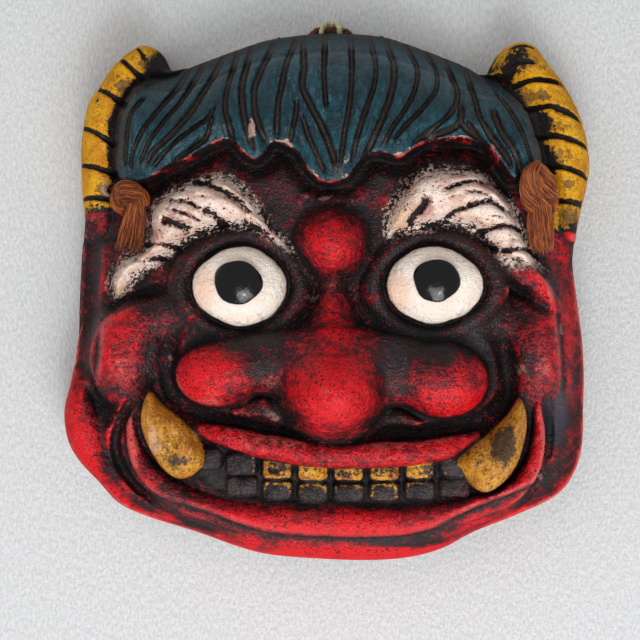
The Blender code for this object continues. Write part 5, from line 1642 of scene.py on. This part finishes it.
# %% Copies of a strand
bundle = Tree("fibre bundle", [("Fibres", 'NodeSocketInt', 40), ("Fibre radius", 'NodeSocketFloat', 0.0002),
                               ("Spread", 'NodeSocketFloat', 1.0), ("Twist", 'NodeSocketFloat', 0.0),
                               ("Wave", 'NodeSocketFloat', 0.0003), ("Ragged end", 'NodeSocketFloat', 0.0),
                               ("Sides", 'NodeSocketInt', 4), ("Spacing", 'NodeSocketFloat', 0.0009),
                               ("Ordered", 'NodeSocketFloat', 0.0), ("Seed", 'NodeSocketInt', 5),
                               ("Material", 'NodeSocketMaterial', None)])
line = bundle.node('GeometryNodeMeshToCurve', {}, {0: bundle["Geometry"]})
line = bundle.node('GeometryNodeResampleCurve', {'mode': 'LENGTH'}, {0: line, 'Length': bundle["Spacing"]})
copies = bundle.node('GeometryNodeDuplicateElements', {'domain': 'SPLINE'},
                     {0: line, 'Amount': bundle["Fibres"]})
order = copies.node.outputs[1]
spline = bundle.node('GeometryNodeFieldOnDomain', {'domain': 'CURVE', 'data_type': 'INT'},
                     {0: bundle.node('GeometryNodeInputIndex')})
tone = bundle.random(0.0, 1.0, bundle.math('ADD', bundle["Seed"], 3), spline)
copies = bundle.node('GeometryNodeStoreNamedAttribute', {'data_type': 'FLOAT', 'domain': 'POINT'},
                     {0: copies, 'Name': "tone", 'Value': tone})
print("bundle inputs:", list(bundle.names))

# %% Where each copy runs inside the bundle
length = bundle.node('GeometryNodeSplineParameter', out=1)
even = bundle.math('MULTIPLY', bundle.math('DIVIDE', order, bundle["Fibres"]), math.tau)
loose = bundle.random(0.0, math.tau, bundle["Seed"], spline)
angle = bundle.between(bundle["Ordered"], loose, even)
angle = bundle.math('ADD', angle, bundle.math('MULTIPLY', length, bundle["Twist"]))
away = bundle.math('SQRT', bundle.random(0.25, 1.0, bundle.math('ADD', bundle["Seed"], 1), spline))
away = bundle.math('MULTIPLY', bundle.between(bundle["Ordered"], away, 1.0), bundle["Spread"])
run = bundle.node('GeometryNodeInputTangent')
side = bundle.vector('NORMALIZE', bundle.vector('CROSS_PRODUCT', run, (0, 0, 1)), (0, 0, 0))
lift = bundle.vector('CROSS_PRODUCT', side, run)
across = bundle.math('MULTIPLY', bundle.math('COSINE', angle), away)
across = bundle.math('MULTIPLY', across, bundle.stored("half_width"))
upward = bundle.math('MULTIPLY', bundle.math('SINE', angle), away)
upward = bundle.math('MULTIPLY', upward, bundle.stored("half_thickness"))
offset = bundle.vector('ADD', bundle.vector('SCALE', side, across, 'Scale'),
                       bundle.vector('SCALE', lift, upward, 'Scale'))
print("bundle tree so far:", len(bundle.tree.nodes), "nodes")

# %% Wave, trim and thicken
WAVES_PER_METRE = 90.0      # how often a fibre wanders from its place

own = bundle.node('ShaderNodeCombineXYZ', {}, {0: bundle.math('MULTIPLY', length, WAVES_PER_METRE),
                                               1: bundle.math('MULTIPLY', spline, 3.71),
                                               2: bundle.math('MULTIPLY', bundle["Seed"], 1.37)})
wander = bundle.node('ShaderNodeTexNoise', {}, {'Vector': own, 'Scale': 1.0, 'Detail': 1.0}, out=1)
wander = bundle.vector('SCALE', bundle.vector('SUBTRACT', wander, (0.5, 0.5, 0.5)), bundle["Wave"], 'Scale')
moved = bundle.node('GeometryNodeSetPosition', {},
                    {0: copies, 'Offset': bundle.vector('ADD', offset, wander)})
end = bundle.random(bundle.math('SUBTRACT', 1.0, bundle["Ragged end"]), 1.0,
                    bundle.math('ADD', bundle["Seed"], 2), spline)
trimmed = bundle.node('GeometryNodeTrimCurve', {'mode': 'FACTOR'}, {0: moved, 'Start': 0.0, 'End': end})
profile = bundle.node('GeometryNodeCurvePrimitiveCircle', {},
                      {'Resolution': bundle["Sides"], 'Radius': bundle["Fibre radius"]})
body = bundle.node('GeometryNodeCurveToMesh', {}, {0: trimmed, 'Profile Curve': profile, 'Fill Caps': True})
bundle.finish(bundle.node('GeometryNodeSetShadeSmooth', {}, {0: body, 'Shade Smooth': True}))
print("bundle tree nodes:", len(bundle.tree.nodes))


# %% From strands to fibres
def guide(name, strands, closed=False):
    """A mesh of bare edges along each strand of (x, y, z, half width, half thickness), in millimetres."""
    points, edges, half_width, half_thickness = [], [], [], []
    for strand in strands:
        first = len(points)
        for x, y, z, w, t in strand:
            points.append(((x + SHIFT[0]) * MM, (y + SHIFT[1]) * MM, z * MM))
            half_width.append(w * MM)
            half_thickness.append(t * MM)
        edges += [(k, k + 1) for k in range(first, len(points) - 1)]
        if closed:
            edges.append((len(points) - 1, first))
    made = bpy.data.meshes.new(name)
    made.from_pydata(points, edges, [])
    for label, values in (("half_width", half_width), ("half_thickness", half_thickness)):
        made.attributes.new(label, 'FLOAT', 'POINT').data.foreach_set("value", values)
    return place_object(name, made)


def spin(line, material, **sizes):
    """Run the bundle tree over a guide and return the fibres as a plain mesh; the guide goes."""
    modifier = line.modifiers.new("fibres", 'NODES')
    modifier.node_group = bundle.tree
    sizes["Material"] = material
    for label, value in sizes.items():
        modifier[bundle.names[label.replace("_", " ")]] = value
    return evaluated_mesh(line)


def join_meshes(name, meshes):
    """One object from several meshes."""
    joined = bpy.data.meshes.new(name)
    work = bmesh.new()
    for k, made in enumerate(meshes):
        made.polygons.foreach_set("material_index", [k] * len(made.polygons))
        work.from_mesh(made)
        joined.materials.append(made.materials[0])
        bpy.data.meshes.remove(made)
    work.to_mesh(joined)
    work.free()
    return place_object(name, joined)


# %% [markdown]
# ### Fibre finishes
# No two fibres of a plant cord have quite the same colour.  The tree gave each its own `tone`, and the finish
# picks between a dark, a middle and a light shade by it, with cloudy noise so that the shades also gather in
# tufts.  A little sheen stands for the fuzz that is too fine to build.


# %% Fibre finishes
def fibre_finish(name, dark, middle, light, scratch_size):
    made = Finish(name)
    own = made.field("tone")
    tone = made.noise(0.0016, 3.0, 0.6) * 0.6 + own * 0.4
    broad = made.noise(0.006, 2.0, 0.5)
    shade = made.mix(tone.step(0.25, 0.55), dark, middle)
    shade = made.mix((own * 0.5 + broad * 0.6).step(0.52, 0.72), shade, light)
    scratch = made.noise(scratch_size, 2.0, 0.6)
    made.set(Base_Color=shade, Roughness=0.62 + tone.swing(0.3), Normal=made.bump(scratch, 0.0001, 0.5),
             Sheen_Weight=0.12, Specular_IOR_Level=0.25, Sheen_Roughness=0.5)
    return made.material


brown = fibre_finish("brown fibre", srgb(72, 32, 13), srgb(140, 64, 24), srgb(204, 112, 48), 0.0004)
# painted shade: the core fibres are darker than the rest, for the shade inside a bundle
core_shade_brown = fibre_finish("brown fibre core", srgb(46, 22, 12), srgb(80, 38, 20), srgb(100, 50, 27), 0.0006)
cord_brown = fibre_finish("brown cord", srgb(52, 28, 18), srgb(116, 68, 46), srgb(158, 104, 76), 0.0004)
cream_string = fibre_finish("cream string", srgb(188, 178, 120), srgb(228, 222, 168), srgb(248, 244, 208),
                            0.0005)
print("materials:", len(bpy.data.materials))

# %% [markdown]
# ### The two knots
# Each knot is two or three short strands that wind round each other and a flat tassel that hangs from them.
# They are laid on the relief as stiff bundles lie: they touch the high places and bridge the hollows.  Every
# strand is spun twice, first as a few thick fibres that fill its core, darker as painted shade for the inside
# of the bundle, then as a few hundred thin ones.

# %% Strands of the knots
# strands are (x, y, half width, half thickness); the last one of each knot is its tassel
LEFT_STRANDS = [
    [(-80.8, 40.2, 1.4, 1.4), (-77.4, 40.6, 2.5, 2.2), (-73.4, 39.4, 2.9, 2.5), (-70.4, 36.6, 2.9, 2.5),
     (-70.2, 33.6, 2.5, 2.3)],
    [(-80.4, 39.6, 1.7, 1.7), (-81.2, 36.4, 1.9, 1.8), (-79.6, 33.2, 1.9, 1.8), (-76.8, 32.0, 2.1, 1.9)],
    [(-78.2, 37.8, 2.1, 1.9), (-75.0, 36.2, 2.7, 2.2), (-71.8, 34.8, 2.9, 2.3)],
    [(-72.4, 34.2, 2.7, 2.3), (-73.2, 28.6, 3.8, 2.1), (-74.2, 22.6, 4.7, 1.8), (-75, 16.2, 4.9, 1.4)],
]
RIGHT_STRANDS = [
    [(78, 48.2, 1.6, 1.7), (75.4, 44.8, 2.9, 2.5), (75, 40.4, 3.4, 2.7), (76.2, 36, 2.9, 2.5),
     (77.8, 32.6, 2.4, 2.2)],
    [(78.2, 47.6, 1.6, 1.7), (80.6, 43.6, 3.1, 2.5), (82.7, 39.2, 3.9, 2.7), (83.6, 34.6, 3.7, 2.5),
     (82.6, 31, 3.3, 2.3)],
    [(80, 35, 3.3, 2.2), (80.6, 29.8, 4.7, 2.1), (81, 25, 4.8, 1.9), (81.6, 20.4, 4.7, 1.7),
     (82.6, 16.0, 3.8, 1.4)],
]
print("strands:", len(LEFT_STRANDS), "left,", len(RIGHT_STRANDS), "right")

# %% Lay the strands
KNOT_GAP = 0.9      # how clear of the mask the fibres rest


def resting_height(r, x, y, radius, thickness):
    """Lowest middle height for a flattened ball that just clears the relief."""
    win = r.window([x], [y], radius)
    u2 = ((r.x[win] - x) ** 2 + (r.y[win] - y) ** 2) / radius ** 2
    under = u2 < 1
    return (r.h[win][under] + thickness * np.sqrt(1 - u2[under])).max() + KNOT_GAP


def lay_strand(strand):
    """Put a strand on the relief, bridging hollows as a stiff bundle does."""
    curve = smooth_curve(strand, steps=5)
    height = np.array([resting_height(relief, *p) for p in curve])
    for _ in range(12):
        height[1:-1] = np.maximum(height[1:-1], (height[:-2] + height[2:]) / 2)
    return [(x, y, z, w, t) for (x, y, w, t), z in zip(curve, height)]


# %% Spin the knots
CORE_SEED, FIBRE_SEED = 20, 40


def core_fibres(name, laid, tassel, k):
    """A few thick fibres that keep light from passing through a bundle; their darker brown is painted shade.
    """
    return spin(guide(name, [laid]), core_shade_brown, Fibres=10, Fibre_radius=0.0005, Spread=0.5, Wave=0.0002,
                Ragged_end=0.3 if tassel else 0.0, Seed=CORE_SEED + k)


def outer_fibres(name, laid, tassel, k):
    """Hundreds of thin ones: twisted in the knot, straighter and uneven at the end in the tassel."""
    return spin(guide(name, [laid]), brown, Fibres=270 if tassel else 220, Spacing=0.0011,
                Fibre_radius=0.000092, Spread=1.05, Wave=0.0026 if tassel else 0.0016,
                Twist=0.0 if tassel else 160.0, Ragged_end=0.35 if tassel else 0.02, Seed=FIBRE_SEED + k)


def knot(name, strands, node):
    meshes = []
    for k, strand in enumerate(strands):
        laid = lay_strand(strand)
        tassel = k == len(strands) - 1
        meshes += [core_fibres(name, laid, tassel, k), outer_fibres(name, laid, tassel, k)]
    obj = join_meshes(name, meshes)
    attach(obj, "root")
    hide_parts(node)
    print(name, "faces:", len(obj.data.polygons))
    return obj


left_tassel = knot("left_tassel", LEFT_STRANDS, "left_knot")
right_tassel = knot("right_tassel", RIGHT_STRANDS, "right_knot")

# %% [markdown]
# ## Hanging cord
# One brown cord runs from hole to hole behind the face.  Only its peak shows beyond the hair.  The cord is
# limp, so it lies down into the hollow, along the table, and out under a shallow arch in the rim.  Its route
# is a list of places that a smooth curve runs through, the same as in the solid model, with points every 4
# mm.

# %% The cord's route
CORD_RADIUS, CORD_SPACING = 1.4, 4.0
BELOW_SURFACE = 0.4     # how far under the mask's surface the cord's ends stop, inside the temple holes


def spaced(route, gap):
    """Points at an even spacing along a smooth curve through a route."""
    fine = smooth_curve(route, steps=12)
    run = np.concatenate([[0], np.cumsum(np.linalg.norm(np.diff(fine, axis=0), axis=1))])
    stops = np.linspace(0, run[-1], int(round(run[-1] / gap)) + 1)
    return np.column_stack([np.interp(stops, run, fine[:, c]) for c in range(3)])


(lx, ly), (rx, ry) = HOLES["left"], HOLES["right"]
cx, cy, cz = LOOP_CENTRE
top_left, top_right = (float(relief.read(relief.h, np.array([a]), np.array([b]))[0]) - BELOW_SURFACE
                       for a, b in ((lx, ly), (rx, ry)))
CORD_ROUTE = [(lx, ly, top_left), (lx, ly, 27), (lx + 0.6, ly + 0.4, 16), (lx + 5, ly + 4, 4.5),
              (-70, 56, 1.8), (-54, 70, 1.6), (-36, 84, 1.6), (-20, 93.5, 2.0), (-11, 100, 2.8),
              (cx - 7, cy - 0.8, 3.6), (cx - 3.5, cy, cz), (cx, cy, cz), (cx + 3.5, cy, cz),
              (cx + 7, cy - 0.8, 3.6), (13.5, 100, 2.8), (22, 93.5, 2.0), (38, 84, 1.6), (55, 70, 1.6),
              (71, 56, 1.8), (rx - 5, ry + 4, 4.5), (rx - 0.6, ry + 0.4, 16), (rx, ry, 27),
              (rx, ry, top_right)]
cord_line = spaced(CORD_ROUTE, CORD_SPACING)
cord_path = [((px + SHIFT[0]) * MM, (py + SHIFT[1]) * MM, pz * MM) for px, py, pz in cord_line]

# %% Twist the cord
CORD_TWIST = 900.0      # radians for each metre

line = [(*p, CORD_RADIUS, CORD_RADIUS) for p in cord_line]
plies = spin(guide("cord", [line]), cord_brown, Fibres=3, Fibre_radius=0.00070, Spread=0.48, Ordered=1.0,
             Twist=CORD_TWIST, Wave=0.0, Sides=8, Spacing=0.0006)
fuzz = spin(guide("cord", [line]), cord_brown, Fibres=18, Fibre_radius=0.00012, Spread=0.92, Ordered=1.0,
            Twist=CORD_TWIST, Wave=0.0003, Sides=3, Spacing=0.0010)
cord = join_meshes("hanging_cord_strands", [plies, fuzz])
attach(cord, "root")
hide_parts("hanging_cord")
print("cord faces:", len(cord.data.polygons))

# %% [markdown]
# ## String loop
# A cream string is wound twice round the peak of the cord and tied, and the mask hangs by it.  Its middle
# line is one closed ring that goes round twice while it moves from left to right and back, so the turns cross
# in front.

# %% The string loop
LOOP_HALF_WIDTH, LOOP_TURN, LOOP_LEAN = 3.5, 2.7, 1.2
LOOP_POINTS, STRING_RADIUS, STRING_TWIST = 72, 0.95, 1500.0

ring = []
for k in range(LOOP_POINTS):
    a = 2 * math.tau * k / LOOP_POINTS
    along = LOOP_LEAN * math.sin(a / 2) - LOOP_HALF_WIDTH * math.cos(a / 2)
    ring.append((cx + along, cy + LOOP_TURN * math.sin(a), cz + LOOP_TURN * math.cos(a),
                 STRING_RADIUS, STRING_RADIUS))
string = spin(guide("loop", [ring], closed=True), cream_string, Fibres=2, Fibre_radius=0.00051, Spread=0.48,
              Ordered=1.0, Twist=STRING_TWIST, Wave=0.0, Sides=8, Spacing=0.0004)
hairs = spin(guide("loop", [ring], closed=True), cream_string, Fibres=22, Fibre_radius=0.00010, Spread=0.95,
             Ordered=1.0, Twist=STRING_TWIST, Wave=0.0004, Sides=3, Spacing=0.0006)
loop = join_meshes("hanging_loop_string", [string, hairs])
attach(loop, "root")
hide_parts("hanging_loop")
print("loop faces:", len(loop.data.polygons))

print("cord leaves the mask at (mm):", [round(c / MM, 1) for c in cord_path[0]])
